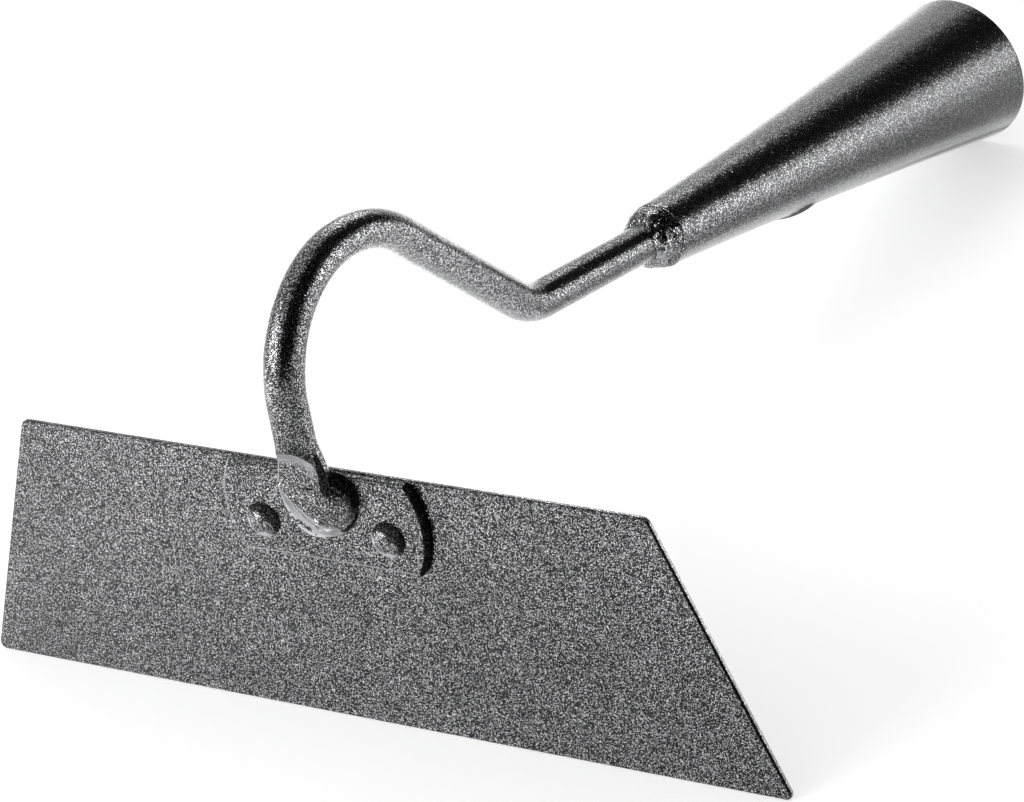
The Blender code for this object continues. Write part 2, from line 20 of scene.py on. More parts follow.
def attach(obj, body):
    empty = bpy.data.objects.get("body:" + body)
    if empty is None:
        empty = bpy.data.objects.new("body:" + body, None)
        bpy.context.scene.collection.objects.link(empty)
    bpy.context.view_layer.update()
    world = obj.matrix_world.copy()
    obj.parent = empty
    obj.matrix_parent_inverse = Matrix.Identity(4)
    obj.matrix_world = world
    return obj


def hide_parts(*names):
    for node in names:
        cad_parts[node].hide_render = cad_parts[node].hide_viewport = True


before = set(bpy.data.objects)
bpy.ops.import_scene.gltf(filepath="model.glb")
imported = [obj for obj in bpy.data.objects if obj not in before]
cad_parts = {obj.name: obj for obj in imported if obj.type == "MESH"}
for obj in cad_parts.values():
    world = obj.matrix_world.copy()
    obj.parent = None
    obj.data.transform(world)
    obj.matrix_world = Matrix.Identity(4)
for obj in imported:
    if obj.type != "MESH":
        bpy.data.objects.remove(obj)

LOG = logging.getLogger("draw_hoe_head")
BODY = "root"
MM = 0.001
QUARTER = math.pi / 2
SHARP_ANGLE = math.radians(40)
# Where the photograph's camera stands round the blade, and how far apart the rivets are
VIEW_AZIMUTH = math.radians(38.194)
VIEW_ELEVATION = math.radians(26.350)
RIVETS_APART = 30.9
# The point attribute that holds painted light (above 0) and painted shade (below 0), and values that shader
# nodes share
SHADE = "shade"
WHOLE = (0.0, 1.0)
NO_GLOSS = 0.0
MATT = 0.9
NOISE_MIDDLE = 0.5
WAVE_RANGE = (0.25, 0.75)
GLINT_RARITY = 6.0
# A point in space, a point in a plane or a pair of limits, a colour, and what a socket can get
Point = tuple[float, float, float]
Flat = tuple[float, float]
Colour = tuple[float, float, float, float]
Feed = bpy.types.NodeSocket | float | Colour


class Slot(Enum):
    """The record's material slots."""

    SHEET = "coated_sheet"
    ROD = "coated_rod"
    RIVET = "coated_rivet"
    WELD = "coated_weld"


class Finish(Enum):
    """The coats, one for each kind of piece."""

    FLAT = "flat_sheet_coat"
    CONE = "cone_coat"
    ROD = "rod_coat"
    HEAD = "rivet_coat"
    MOUND = "mound_coat"
    COLLAR = "collar_coat"


class Axis(Enum):
    """The axes along which a coat can grow more even."""

    ACROSS = "X"
    BACKWARDS = "Y"


@dataclass(frozen=True)
class Stance:
    """How the blade's frame stands in the row's frame: leant back, moved along Y and up."""

    lean: float = math.radians(2.3099)
    forward: float = -127.452
    up: float = 0.070

    def matrix(self) -> Matrix:
        """Give the matrix from the blade's frame, in metres, to the row's frame."""
        move = Matrix.Translation((0.0, self.forward * MM, self.up * MM))
        return move @ Matrix.Rotation(-self.lean, 4, "X")


def direction(azimuth: float, elevation: float) -> Vector:
    """Give the unit vector towards an azimuth, turned from -Y towards +X, and an elevation."""
    level = math.cos(elevation)
    return Vector((math.sin(azimuth) * level, -math.cos(azimuth) * level, math.sin(elevation)))


STANCE = Stance().matrix()
# The way to the photograph's camera, in the blade's frame. Places that were read in the
# photograph are carried along it onto the surface, and stay there in every view.
SIGHT = direction(VIEW_AZIMUTH, VIEW_ELEVATION)


# Shapes: plain functions that the pieces share


def smooth_step(value: float, low: float, high: float) -> float:
    """Rise from 0 at low to 1 at high with level ends.

    Args:
        value: The place to read.
        low: Where the rise starts.
        high: Where the rise ends.

    Returns:
        A share from 0 to 1.
    """
    share = min(max((value - low) / (high - low), 0.0), 1.0)
    return share * share * (3 - 2 * share)


def soft_min(first: float, second: float, blend: float) -> float:
    """Give the smaller of two values, rounded off where they are close.

    Args:
        first: One value.
        second: The other value.
        blend: How close they are where the rounding starts.

    Returns:
        The rounded minimum.
    """
    if blend <= 0.0:
        return min(first, second)
    near = max(blend - abs(first - second), 0.0) / blend
    return min(first, second) - near * near * blend / 4


def soft_max(first: float, second: float, blend: float) -> float:
    """Give the larger of two values, rounded off where they are close."""
    return -soft_min(-first, -second, blend)


def hump(value: float, centre: float, width: float) -> float:
    """Give 1 at the centre, falling away on both sides like a bell."""
    return math.exp(-(((value - centre) / width) ** 2))


def between(start: float, end: float, count: int) -> list[float]:
    """Give the numbers that part a run into equal steps, its two ends left out."""
    return [start + (end - start) * k / count for k in range(1, count)]


def quarter_turns(steps: int) -> list[float]:
    """Give evenly spaced angles from 0 to a quarter turn, both ends included."""
    return [QUARTER * k / steps for k in range(steps + 1)]


def turn_from(angle: float, other: float) -> float:
    """Give the shorter turn to an angle from another one, in degrees."""
    return (angle - other + 180) % 360 - 180


def along(start: Flat, heading: float, distance: float) -> Flat:
    """Step from a point in Y and Z along a heading."""
    return start[0] + distance * math.cos(heading), start[1] + distance * math.sin(heading)


def bend(start: Flat, heading: float, turn: float, radius: float, step: float) -> list[Flat]:
    """Give the points of a bend in Y and Z, both ends included.

    Args:
        start: The point where the bend starts.
        heading: The direction there.
        turn: The whole turn; a positive one curls upwards.
        radius: The radius of the bend.
        step: The turn from one point to the next.

    Returns:
        The points of the arc.
    """
    side = math.copysign(QUARTER, turn)
    centre = along(start, heading + side, radius)
    count = round(abs(turn) / step)
    return [along(centre, heading + turn * k / count - side, radius) for k in range(count + 1)]


def distance_to_line(x: float, z: float, line: tuple[Flat, ...]) -> float:
    """Give the distance in a plane from a point to a line of straight runs.

    Args:
        x: The point's place across.
        z: The point's height.
        line: The line's corners.

    Returns:
        The distance to its nearest place.
    """
    best = math.inf
    for (x0, z0), (x1, z1) in zip(line, line[1:]):
        dx, dz = x1 - x0, z1 - z0
        share = ((x - x0) * dx + (z - z0) * dz) / (dx * dx + dz * dz)
        share = min(max(share, 0.0), 1.0)
        best = min(best, math.hypot(x - x0 - share * dx, z - z0 - share * dz))
    return best


def lumps(place: Point, size: float, seed: float) -> float:
    """Give smooth noise from about -1 to 1 with lumps of a size in millimetres."""
    return noise.noise(Vector(place) / size + Vector((seed, 2.0 * seed, -seed)))


def add_object(name: str, data: bpy.types.ID) -> bpy.types.Object:
    """Make an object of a mesh, a light or a camera, and put it in the scene.

    Args:
        name: The object's name.
        data: The mesh, light or camera.

    Returns:
        The object.
    """
    obj = bpy.data.objects.new(name, data)
    bpy.context.scene.collection.objects.link(obj)
    return obj


def new_object(name: str, work: bmesh.types.BMesh) -> bpy.types.Object:
    """Turn a mesh in the making into an object of the scene.

    Args:
        name: The name of the object and of its mesh.
        work: The mesh in the making, which is freed.

    Returns:
        The object.
    """
    mesh = bpy.data.meshes.new(name)
    work.to_mesh(mesh)
    work.free()
    return add_object(name, mesh)


def smooth(mesh: bpy.types.Mesh) -> None:
    """Shade a mesh smooth but for its true edges."""
    mesh.shade_smooth()
    mesh.set_sharp_from_angle(angle=SHARP_ANGLE)


def skin(
    name: str,
    rings: list[list[Point]],
    place: Matrix,
    shades: list[list[float]],
    ring_shaped: bool = False,
) -> bpy.types.Object:
    """Skin closed rings of points into a closed body.

    Args:
        name: The piece's name.
        rings: Rings with the same number of points, in millimetres.
        place: The matrix that takes the points, in metres, to the row's frame.
        shades: The painted light and shade at each point: above 0 a paler painted highlight, below 0 a darker
            painted shade.
        ring_shaped: True joins the last ring to the first; otherwise both ends are capped.

    Returns:
        The new object, shaded smooth but for its true edges.
    """
    work = bmesh.new()
    made = [[work.verts.new(place @ (Vector(point) * MM)) for point in ring] for ring in rings]
    pairs = list(zip(made, made[1:]))
    if ring_shaped:
        pairs.append((made[-1], made[0]))
    for low, high in pairs:
        for k in range(len(low)):
            after = (k + 1) % len(low)
            work.faces.new((low[k], low[after], high[after], high[k]))
    if not ring_shaped:
        for ring in (made[0], made[-1]):
            middle = work.verts.new(sum((vert.co for vert in ring), Vector()) / len(ring))
            for k in range(len(ring)):
                work.faces.new((ring[k], ring[(k + 1) % len(ring)], middle))
    bmesh.ops.recalc_face_normals(work, faces=work.faces)
    obj = new_object(name, work)
    values = [value for ring in shades for value in ring]
    values += [0.0] * (len(obj.data.vertices) - len(values))
    obj.data.attributes.new(SHADE, "FLOAT", "POINT").data.foreach_set("value", values)
    smooth(obj.data)
    return obj


# Finishes: shader node groups for what every coat shares, then the coats


class Wiring:
    """Short calls for placing and joining the nodes of one shader tree."""

    def __init__(self, tree: bpy.types.NodeTree) -> None:
        """Keep the tree that nodes go into."""
        self.tree = tree

    def add(self, kind: str, **settings: object) -> bpy.types.Node:
        """Place a node and set its properties.

        Args:
            kind: The node's type.
            settings: Its properties, by name.

        Returns:
            The node.
        """
        node = self.tree.nodes.new(kind)
        for name, value in settings.items():
            setattr(node, name, value)
        return node

    def link(self, source: bpy.types.NodeSocket, target: bpy.types.NodeSocket) -> None:
        """Join two sockets."""
        self.tree.links.new(source, target)

    def feed(self, target: bpy.types.NodeSocket, value: Feed) -> None:
        """Join an input socket to an output socket, or set its number or colour.

        Args:
            target: The input socket.
            value: What it gets.
        """
        if isinstance(value, bpy.types.NodeSocket):
            self.link(value, target)
        else:
            target.default_value = value

    def math(self, operation: str, first: Feed, second: Feed) -> bpy.types.NodeSocket:
        """Place a Math node.

        Args:
            operation: What it works out.
            first: Its first input.
            second: Its second input.

        Returns:
            Its output.
        """
        node = self.add("ShaderNodeMath", operation=operation)
        self.feed(node.inputs[0], first)
        self.feed(node.inputs[1], second)
        return node.outputs[0]

    def remap(self, value: bpy.types.NodeSocket, old: Flat, new: Flat) -> bpy.types.NodeSocket:
        """Place a clamped Map Range node.

        Args:
            value: The value to remap.
            old: The limits between which it is read.
            new: What it becomes at those limits.

        Returns:
            Its output.
        """
        node = self.add("ShaderNodeMapRange", clamp=True)
        self.link(value, node.inputs["Value"])
        for name, number in zip(("From Min", "From Max", "To Min", "To Max"), (*old, *new)):
            node.inputs[name].default_value = number
        return node.outputs["Result"]

    def mix(self, share: Feed, first: Feed, second: Feed, blend: str = "MIX") -> bpy.types.NodeSocket:
        """Place a Mix node of two colours.

        Args:
            share: How much of the second colour there is.
            first: The first colour.
            second: The second colour.
            blend: How the second colour goes on the first.

        Returns:
            The mixed colour.
        """
        node = self.add("ShaderNodeMix", data_type="RGBA", blend_type=blend)
        for name, value in zip(("Factor", "A", "B"), (share, first, second)):
            self.feed(node.inputs[name], value)
        return node.outputs["Result"]

    def axes(self, vector: bpy.types.NodeSocket) -> bpy.types.NodeOutputs:
        """Split a vector into its X, Y and Z.

        Args:
            vector: The vector's socket.

        Returns:
            The outputs X, Y and Z.
        """
        parts = self.add("ShaderNodeSeparateXYZ")
        self.link(vector, parts.inputs["Vector"])
        return parts.outputs

    def places(self, kind: str) -> bpy.types.NodeSocket:
        """Give the texture coordinates of one kind, such as Object."""
        return self.add("ShaderNodeTexCoord").outputs[kind]


def new_group(
    name: str, inputs: dict[str, float], outputs: dict[str, str]
) -> tuple[bpy.types.NodeTree, Wiring, bpy.types.Node, bpy.types.Node]:
    """Start a shader node group with named sockets.

    Args:
        name: The group's name.
        inputs: Each input value's name and default.
        outputs: Each output's name and its kind, "Float" or "Vector".

    Returns:
        The group, its wiring, its input node and its output node.
    """
    group = bpy.data.node_groups.new(name, "ShaderNodeTree")
    for title, value in inputs.items():
        socket = group.interface.new_socket(name=title, in_out="INPUT", socket_type="NodeSocketFloat")
        socket.default_value = value
    for title, kind in outputs.items():
        group.interface.new_socket(name=title, in_out="OUTPUT", socket_type="NodeSocket" + kind)
    wiring = Wiring(group)
    return group, wiring, wiring.add("NodeGroupInput"), wiring.add("NodeGroupOutput")


def new_material(name: str) -> tuple[bpy.types.Material, Wiring, bpy.types.Node]:
    """Start a material on the Principled shader, without its plain gloss.

    Args:
        name: The material's name.

    Returns:
        The material, its wiring and its shader.
    """
    material = bpy.data.materials.new(name)
    material.use_nodes = True
    shader = material.node_tree.nodes["Principled BSDF"]
    shader.inputs["Specular IOR Level"].default_value = NO_GLOSS
    return material, Wiring(material.node_tree), shader


def matt_material(name: str, tone: float) -> tuple[bpy.types.Material, Wiring, bpy.types.Node]:
    """Start a matt grey material.

    Args:
        name: The material's name.
        tone: How light it is.

    Returns:
        The material, its wiring and its shader.
    """
    material, wiring, shader = new_material(name)
    shader.inputs["Base Color"].default_value = (tone, tone, tone, 1.0)
    shader.inputs["Roughness"].default_value = MATT
    return material, wiring, shader


def flake_group() -> bpy.types.NodeTree:
    """Make the metal flakes: each has a tone from 0 to 1, and lies tilted its own way.

    Returns:
        The group. Its inputs are the flakes in a metre, their tilt, the further tilt of a few
        of them that glint, and the skin's normal. Its outputs are Flake and Normal.
    """
    inputs = {"Scale": 5000.0, "Tilt": 0.16, "Glint": 0.0}
    group, wiring, given, result = new_group("coat_flakes", inputs, {"Flake": "Float", "Normal": "Vector"})
    normal = group.interface.new_socket(name="Normal", in_out="INPUT", socket_type="NodeSocketVector")
    normal.hide_value = True
    cells = wiring.add("ShaderNodeTexVoronoi", voronoi_dimensions="3D", feature="F1")
    wiring.link(wiring.places("Object"), cells.inputs["Vector"])
    wiring.link(given.outputs["Scale"], cells.inputs["Scale"])
    parts = wiring.add("ShaderNodeSeparateColor")
    wiring.link(cells.outputs["Color"], parts.inputs["Color"])
    wiring.link(parts.outputs["Red"], result.inputs["Flake"])
    other = wiring.add("ShaderNodeTexWhiteNoise", noise_dimensions="3D")
    wiring.link(cells.outputs["Position"], other.inputs["Vector"])
    centred = wiring.add("ShaderNodeVectorMath", operation="SUBTRACT")
    wiring.link(other.outputs["Color"], centred.inputs[0])
    centred.inputs[1].default_value = (NOISE_MIDDLE, NOISE_MIDDLE, NOISE_MIDDLE)
    rare = wiring.math("POWER", parts.outputs["Green"], GLINT_RARITY)
    reach = wiring.math("ADD", given.outputs["Tilt"], wiring.math("MULTIPLY", rare, given.outputs["Glint"]))
    tilted = wiring.add("ShaderNodeVectorMath", operation="SCALE")
    wiring.link(centred.outputs["Vector"], tilted.inputs[0])
    wiring.link(reach, tilted.inputs["Scale"])
    summed = wiring.add("ShaderNodeVectorMath", operation="ADD")
    wiring.link(given.outputs["Normal"], summed.inputs[0])
    wiring.link(tilted.outputs["Vector"], summed.inputs[1])
    unit = wiring.add("ShaderNodeVectorMath", operation="NORMALIZE")
    wiring.link(summed.outputs["Vector"], unit.inputs[0])
    wiring.link(unit.outputs["Vector"], result.inputs["Normal"])
    return group


def waves_group(name: str, scale: float, detail: float) -> bpy.types.NodeTree:
    """Make smooth waves from 0 to 1, for the skin's orange peel and the coat's clouds.

    Args:
        name: The group's name.
        scale: Waves in a metre, unless the material says otherwise.
        detail: How many finer waves are added.

    Returns:
        The group, with one output, Height.
    """
    group, wiring, given, result = new_group(name, {"Scale": scale}, {"Height": "Float"})
    waves = wiring.add("ShaderNodeTexNoise", noise_dimensions="3D")
    waves.inputs["Detail"].default_value = detail
    wiring.link(wiring.places("Object"), waves.inputs["Vector"])
    wiring.link(given.outputs["Scale"], waves.inputs["Scale"])
    wiring.link(wiring.remap(waves.outputs["Fac"], WAVE_RANGE, WHOLE), result.inputs["Height"])
    return group


class Groups:
    """The shader node groups, each made once."""

    def __init__(self) -> None:
        """Make the groups."""
        self.flakes = flake_group()
        self.peel = waves_group("orange_peel", scale=450.0, detail=2.0)
        self.clouds = waves_group("coat_clouds", scale=35.0, detail=3.0)


@dataclass(frozen=True)
class SpeckledCoat:
    """A silver-grey powder coat with bright metal flakes in a dark ground, under a thin clear layer.

    A flake's value picks its tone from the stops in tones. Along one axis the coat grows more
    even, as where its flakes are too fine to see: even_from and even_to each hold a place in
    metres and the evenness there, and evenness is its least. Skin that faces down gets a painted
    reflection of the bright table below, paler between two limits of its normal's Z. The point
    attribute shade holds painted light and shade: above 0 a painted highlight, paler and less
    metallic, and below 0 a painted shade, darker, duller and with less of the clear layer.
    """

    finish: Finish
    tones: tuple[Flat, ...] = ((0.0, 0.006), (0.66, 0.02), (0.76, 0.1), (0.86, 0.8), (1.0, 1.0))
    mean_tone: float = 0.18
    even_from: Flat = (-0.1, 0.0)
    even_to: Flat = (0.1, 0.0)
    even_axis: Axis = Axis.ACROSS
    # Painted reflection of the bright table below, on skin that faces down
    underside_light_tone: float = 0.42
    underside_light_span: Flat = (-0.9, -0.25)
    painted_paleness: float = 0.75
    blue: float = 1.02
    clouds_scale: float = 35.0
    clouds_depth: Flat = (0.86, 1.12)
    # Tone and metal of the painted highlights
    painted_light_tone: float = 0.5
    painted_light_metal: float = 0.25
    evenness: float = 0.0
    flake_scale: float = 6000.0
    tilt: float = 0.14
    glint: float = 0.5
    peel_scale: float = 450.0
    peel_bump: float = 0.22
    peel_height: float = 0.25
    roughness: Flat = (0.27, 0.22)
    clear_layer: float = 0.35
    clear_roughness: float = 0.2

    def grey(self, tone: float) -> Colour:
        """Give a tone as a colour with the coat's touch of blue."""
        return tone, tone, tone * self.blue, 1.0

    def lay_flakes(self, wiring: Wiring, groups: Groups) -> bpy.types.Node:
        """Place the orange-peel skin and the flakes that lie in it.

        Args:
            wiring: The material's wiring.
            groups: The shared shader node groups.

        Returns:
            The flakes' node, with the outputs Flake and Normal.
        """
        peel = wiring.add("ShaderNodeGroup", node_tree=groups.peel)
        peel.inputs["Scale"].default_value = self.peel_scale
        bump = wiring.add("ShaderNodeBump")
        bump.inputs["Strength"].default_value = self.peel_bump
        bump.inputs["Distance"].default_value = self.peel_height * MM
        wiring.link(peel.outputs["Height"], bump.inputs["Height"])
        flakes = wiring.add("ShaderNodeGroup", node_tree=groups.flakes)
        flakes.inputs["Scale"].default_value = self.flake_scale
        flakes.inputs["Tilt"].default_value = self.tilt
        flakes.inputs["Glint"].default_value = self.glint
        wiring.link(bump.outputs["Normal"], flakes.inputs["Normal"])
        return flakes

    def speckle(self, wiring: Wiring, flake: bpy.types.NodeSocket) -> bpy.types.NodeSocket:
        """Give each flake its tone: most are as dark as the ground, and few are bright.

        Args:
            wiring: The material's wiring.
            flake: The flakes' values from 0 to 1.

        Returns:
            The speckled colour.
        """
        ramp = wiring.add("ShaderNodeValToRGB")
        stops = ramp.color_ramp.elements
        anywhere = 0.5
        while len(stops) < len(self.tones):
            stops.new(anywhere)
        for stop, (place, tone) in zip(stops, self.tones):
            stop.position = place
            stop.color = self.grey(tone)
        wiring.link(flake, ramp.inputs["Fac"])
        return ramp.outputs["Color"]

    def even_out_and_light_below(self, wiring: Wiring, speckled: bpy.types.NodeSocket) -> bpy.types.NodeSocket:
        """Make the colour more even along the coat's axis, and paint a pale reflection of the bright table
        below where it faces down.

        Args:
            wiring: The material's wiring.
            speckled: The speckled colour.

        Returns:
            The settled colour.
        """
        place = wiring.axes(wiring.places("Object"))[self.even_axis.value]
        ends, levels = zip(self.even_from, self.even_to)
        even = wiring.math("MAXIMUM", wiring.remap(place, ends, levels), self.evenness)
        evened = wiring.mix(even, speckled, self.grey(self.mean_tone))
        # Painted reflection: skin that faces down is made paler, as if lit by the bright table below
        facing = wiring.axes(wiring.add("ShaderNodeNewGeometry").outputs["Normal"])
        below = wiring.remap(facing["Z"], self.underside_light_span, (self.painted_paleness, 0.0))
        return wiring.mix(below, evened, self.grey(self.underside_light_tone))

    def build(self, groups: Groups) -> bpy.types.Material:
        """Make the coat's material.

        Args:
            groups: The shared shader node groups.

        Returns:
            The material.
        """
        material, wiring, shader = new_material(self.finish.value)
        shader.inputs["Coat Roughness"].default_value = self.clear_roughness
        flakes = self.lay_flakes(wiring, groups)
        wiring.link(flakes.outputs["Normal"], shader.inputs["Normal"])
        rough = wiring.remap(flakes.outputs["Flake"], WHOLE, self.roughness)
        wiring.link(rough, shader.inputs["Roughness"])
        # Painted light and shade from the point attribute: its part above 0 makes a painted highlight, paler
        # and less metallic; its part below 0 makes a painted shade, darker, duller and with less clear layer
        light_and_shade = wiring.add("ShaderNodeAttribute", attribute_type="GEOMETRY", attribute_name=SHADE)
        thick = wiring.remap(light_and_shade.outputs["Fac"], WHOLE, WHOLE)
        unshaded = wiring.remap(light_and_shade.outputs["Fac"], (-1.0, 0.0), WHOLE)
        bright = wiring.remap(thick, WHOLE, (1.0, self.painted_light_metal))
        wiring.link(wiring.math("MULTIPLY", bright, unshaded), shader.inputs["Metallic"])
        wiring.link(wiring.math("MULTIPLY", unshaded, self.clear_layer), shader.inputs["Coat Weight"])
        colour = self.even_out_and_light_below(wiring, self.speckle(wiring, flakes.outputs["Flake"]))
        colour = wiring.mix(thick, colour, self.grey(self.painted_light_tone))
        colour = wiring.mix(1.0, colour, unshaded, "MULTIPLY")
        clouds = wiring.add("ShaderNodeGroup", node_tree=groups.clouds)
        clouds.inputs["Scale"].default_value = self.clouds_scale
        depth = wiring.remap(clouds.outputs["Height"], WHOLE, self.clouds_depth)
        wiring.link(wiring.mix(1.0, colour, depth, "MULTIPLY"), shader.inputs["Base Color"])
        return material


class Coats:
    """The coat of each kind of piece."""

    def __init__(self) -> None:
        """Make every coat once."""
        groups = Groups()
        kinds = (
            SpeckledCoat(Finish.FLAT, even_from=(-0.1, 0.22), even_to=(0.0, 0.05)),
            SpeckledCoat(
                Finish.CONE, even_from=(-0.01, 0.2), even_to=(0.11, 0.6), even_axis=Axis.BACKWARDS, glint=0.4,
                underside_light_tone=0.5, clouds_scale=1100.0, clouds_depth=(0.78, 1.22),
            ),
            SpeckledCoat(
                Finish.ROD, even_from=(-0.09, 0.1), even_to=(0.0, 0.3), even_axis=Axis.BACKWARDS, glint=0.3,
                peel_scale=520.0, underside_light_span=(-0.95, -0.35), flake_scale=6500.0,
            ),
            SpeckledCoat(
                Finish.HEAD, evenness=0.2, glint=0.45, peel_bump=0.25,
                underside_light_span=(-0.95, -0.5), painted_light_tone=0.75,
            ),
            SpeckledCoat(
                Finish.MOUND, evenness=0.15, glint=0.3, peel_scale=600.0, peel_bump=0.3,
                underside_light_span=(-0.9, -0.4), painted_light_tone=0.62,
            ),
            SpeckledCoat(
                Finish.COLLAR, glint=0.6, peel_scale=600.0, peel_bump=0.35, underside_light_span=(-0.95, -0.5),
            ),
        )
        self.made = {coat.finish: coat.build(groups) for coat in kinds}

    def dress(self, obj: bpy.types.Object, finish: Finish) -> None:
        """Put a coat on an object in place of what it has."""
        obj.data.materials.clear()
        obj.data.materials.append(self.made[finish])


def stand_in(
    obj: bpy.types.Object, node: str, coats: Coats, finish: Finish
) -> bpy.types.Object:
    """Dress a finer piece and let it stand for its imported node.

    Args:
        obj: The finer piece, in place.
        node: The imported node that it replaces.
        coats: The coats.
        finish: Which of the coats it gets.

    Returns:
        The same object.
    """
    coats.dress(obj, finish)
    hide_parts(node)
    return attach(obj, BODY)


# Pieces


@dataclass
class Blade:
    """The flat trapezoid blade with its small round corners and its soft edges.

    edge_dark and edge_pale give the painted shade line and the painted highlight on the cutting
    edge, the right end, the top and the left end. dark_from, dark_to and pale_to are turns round
    the front's soft edge, from the blade's rim to its front, between which the painted shade
    comes, the painted shade goes and the painted highlight goes.
    """

    edge_width: float = 200.0
    top_width: float = 154.0
    height: float = 59.0
    thickness: float = 1.2
    top_corner: float = 2.2
    tip_corner: float = 1.5
    front_round: float = 0.55
    back_round: float = 0.25
    corner_steps: int = 16
    edge_steps: int = 8
    flat_rim: float = 0.4
    # Painted shade lines and painted highlights along each edge
    edge_dark: tuple[float, ...] = (0.1, 0.95, 0.55, 0.2)
    edge_pale: tuple[float, ...] = (0.1, 0.5, 0.2, 0.1)
    dark_from: Flat = (0.15, 0.4)
    dark_to: Flat = (1.25, QUARTER)
    pale_to: Flat = (0.05, 0.3)

    def outline(self, inset: float) -> list[Flat]:
        """Give the blade's outline, from the left tip round by the right one.

        Args:
            inset: How far the outline is drawn in.

        Returns:
            Its points, evenly spaced round each corner.
        """
        low, high = self.edge_width / 2, self.top_width / 2
        corners = [
            ((-low, 0.0), self.tip_corner),
            ((low, 0.0), self.tip_corner),
            ((high, self.height), self.top_corner),
            ((-high, self.height), self.top_corner),
        ]
        points = []
        for k, (corner, radius) in enumerate(corners):
            before = (Vector(corner) - Vector(corners[k - 1][0])).normalized()
            after = (Vector(corners[(k + 1) % len(corners)][0]) - Vector(corner)).normalized()
            turn = math.acos(before.dot(after))
            inward = (after - before).normalized()
            centre = Vector(corner) + inward * radius / math.cos(turn / 2)
            start = math.atan2(-before.x, before.y)
            for step in range(self.corner_steps + 1):
                angle = start + turn * step / self.corner_steps
                out = Vector((math.cos(angle), math.sin(angle))) * (radius - inset)
                points.append(tuple(centre + out))
        return points

    def edge_shades(self, dark: float, pale: float) -> list[float]:
        """Give the painted light and shade round the outline for one ring.

        Args:
            dark: How much of the edges' painted shade this ring takes.
            pale: How much of their painted highlight it takes.

        Returns:
            A shade for each outline point, blended round the corners.
        """
        shades = []
        for k in range(len(self.edge_dark)):
            for step in range(self.corner_steps + 1):
                share = step / self.corner_steps
                darkness = self.edge_dark[k - 1] * (1 - share) + self.edge_dark[k] * share
                painted_paleness = self.edge_pale[k - 1] * (1 - share) + self.edge_pale[k] * share
                shades.append(pale * painted_paleness - dark * darkness)
        return shades

    def build(self, coats: Coats) -> bpy.types.Object:
        """Skin the blade from its back over both soft edges to its front.

        Args:
            coats: The coats.

        Returns:
            The blade.
        """
        front, back, thick = self.front_round, self.back_round, self.thickness
        turns = quarter_turns(self.edge_steps)
        plan = [(back + self.flat_rim, thick, 0.0, 0.0)]
        plan += [(back - back * math.sin(a), thick - back + back * math.cos(a), 0.0, 1.0) for a in turns]
        # Painted shade line and painted highlight round the front's soft edge
        for a in turns:
            dark = smooth_step(a, *self.dark_from) * (1 - smooth_step(a, *self.dark_to))
            pale = 1 - smooth_step(a, *self.pale_to)
            plan.append((front - front * math.cos(a), front - front * math.sin(a), dark, pale))
        plan.append((front + self.flat_rim, 0.0, 0.0, 0.0))
        rings = [[(x, depth, z) for x, z in self.outline(inset)] for inset, depth, _, _ in plan]
        shades = [self.edge_shades(dark, pale) for _, _, dark, pale in plan]
        blade = skin("blade_soft", rings, STANCE, shades)
        return stand_in(blade, "blade", coats, Finish.FLAT)


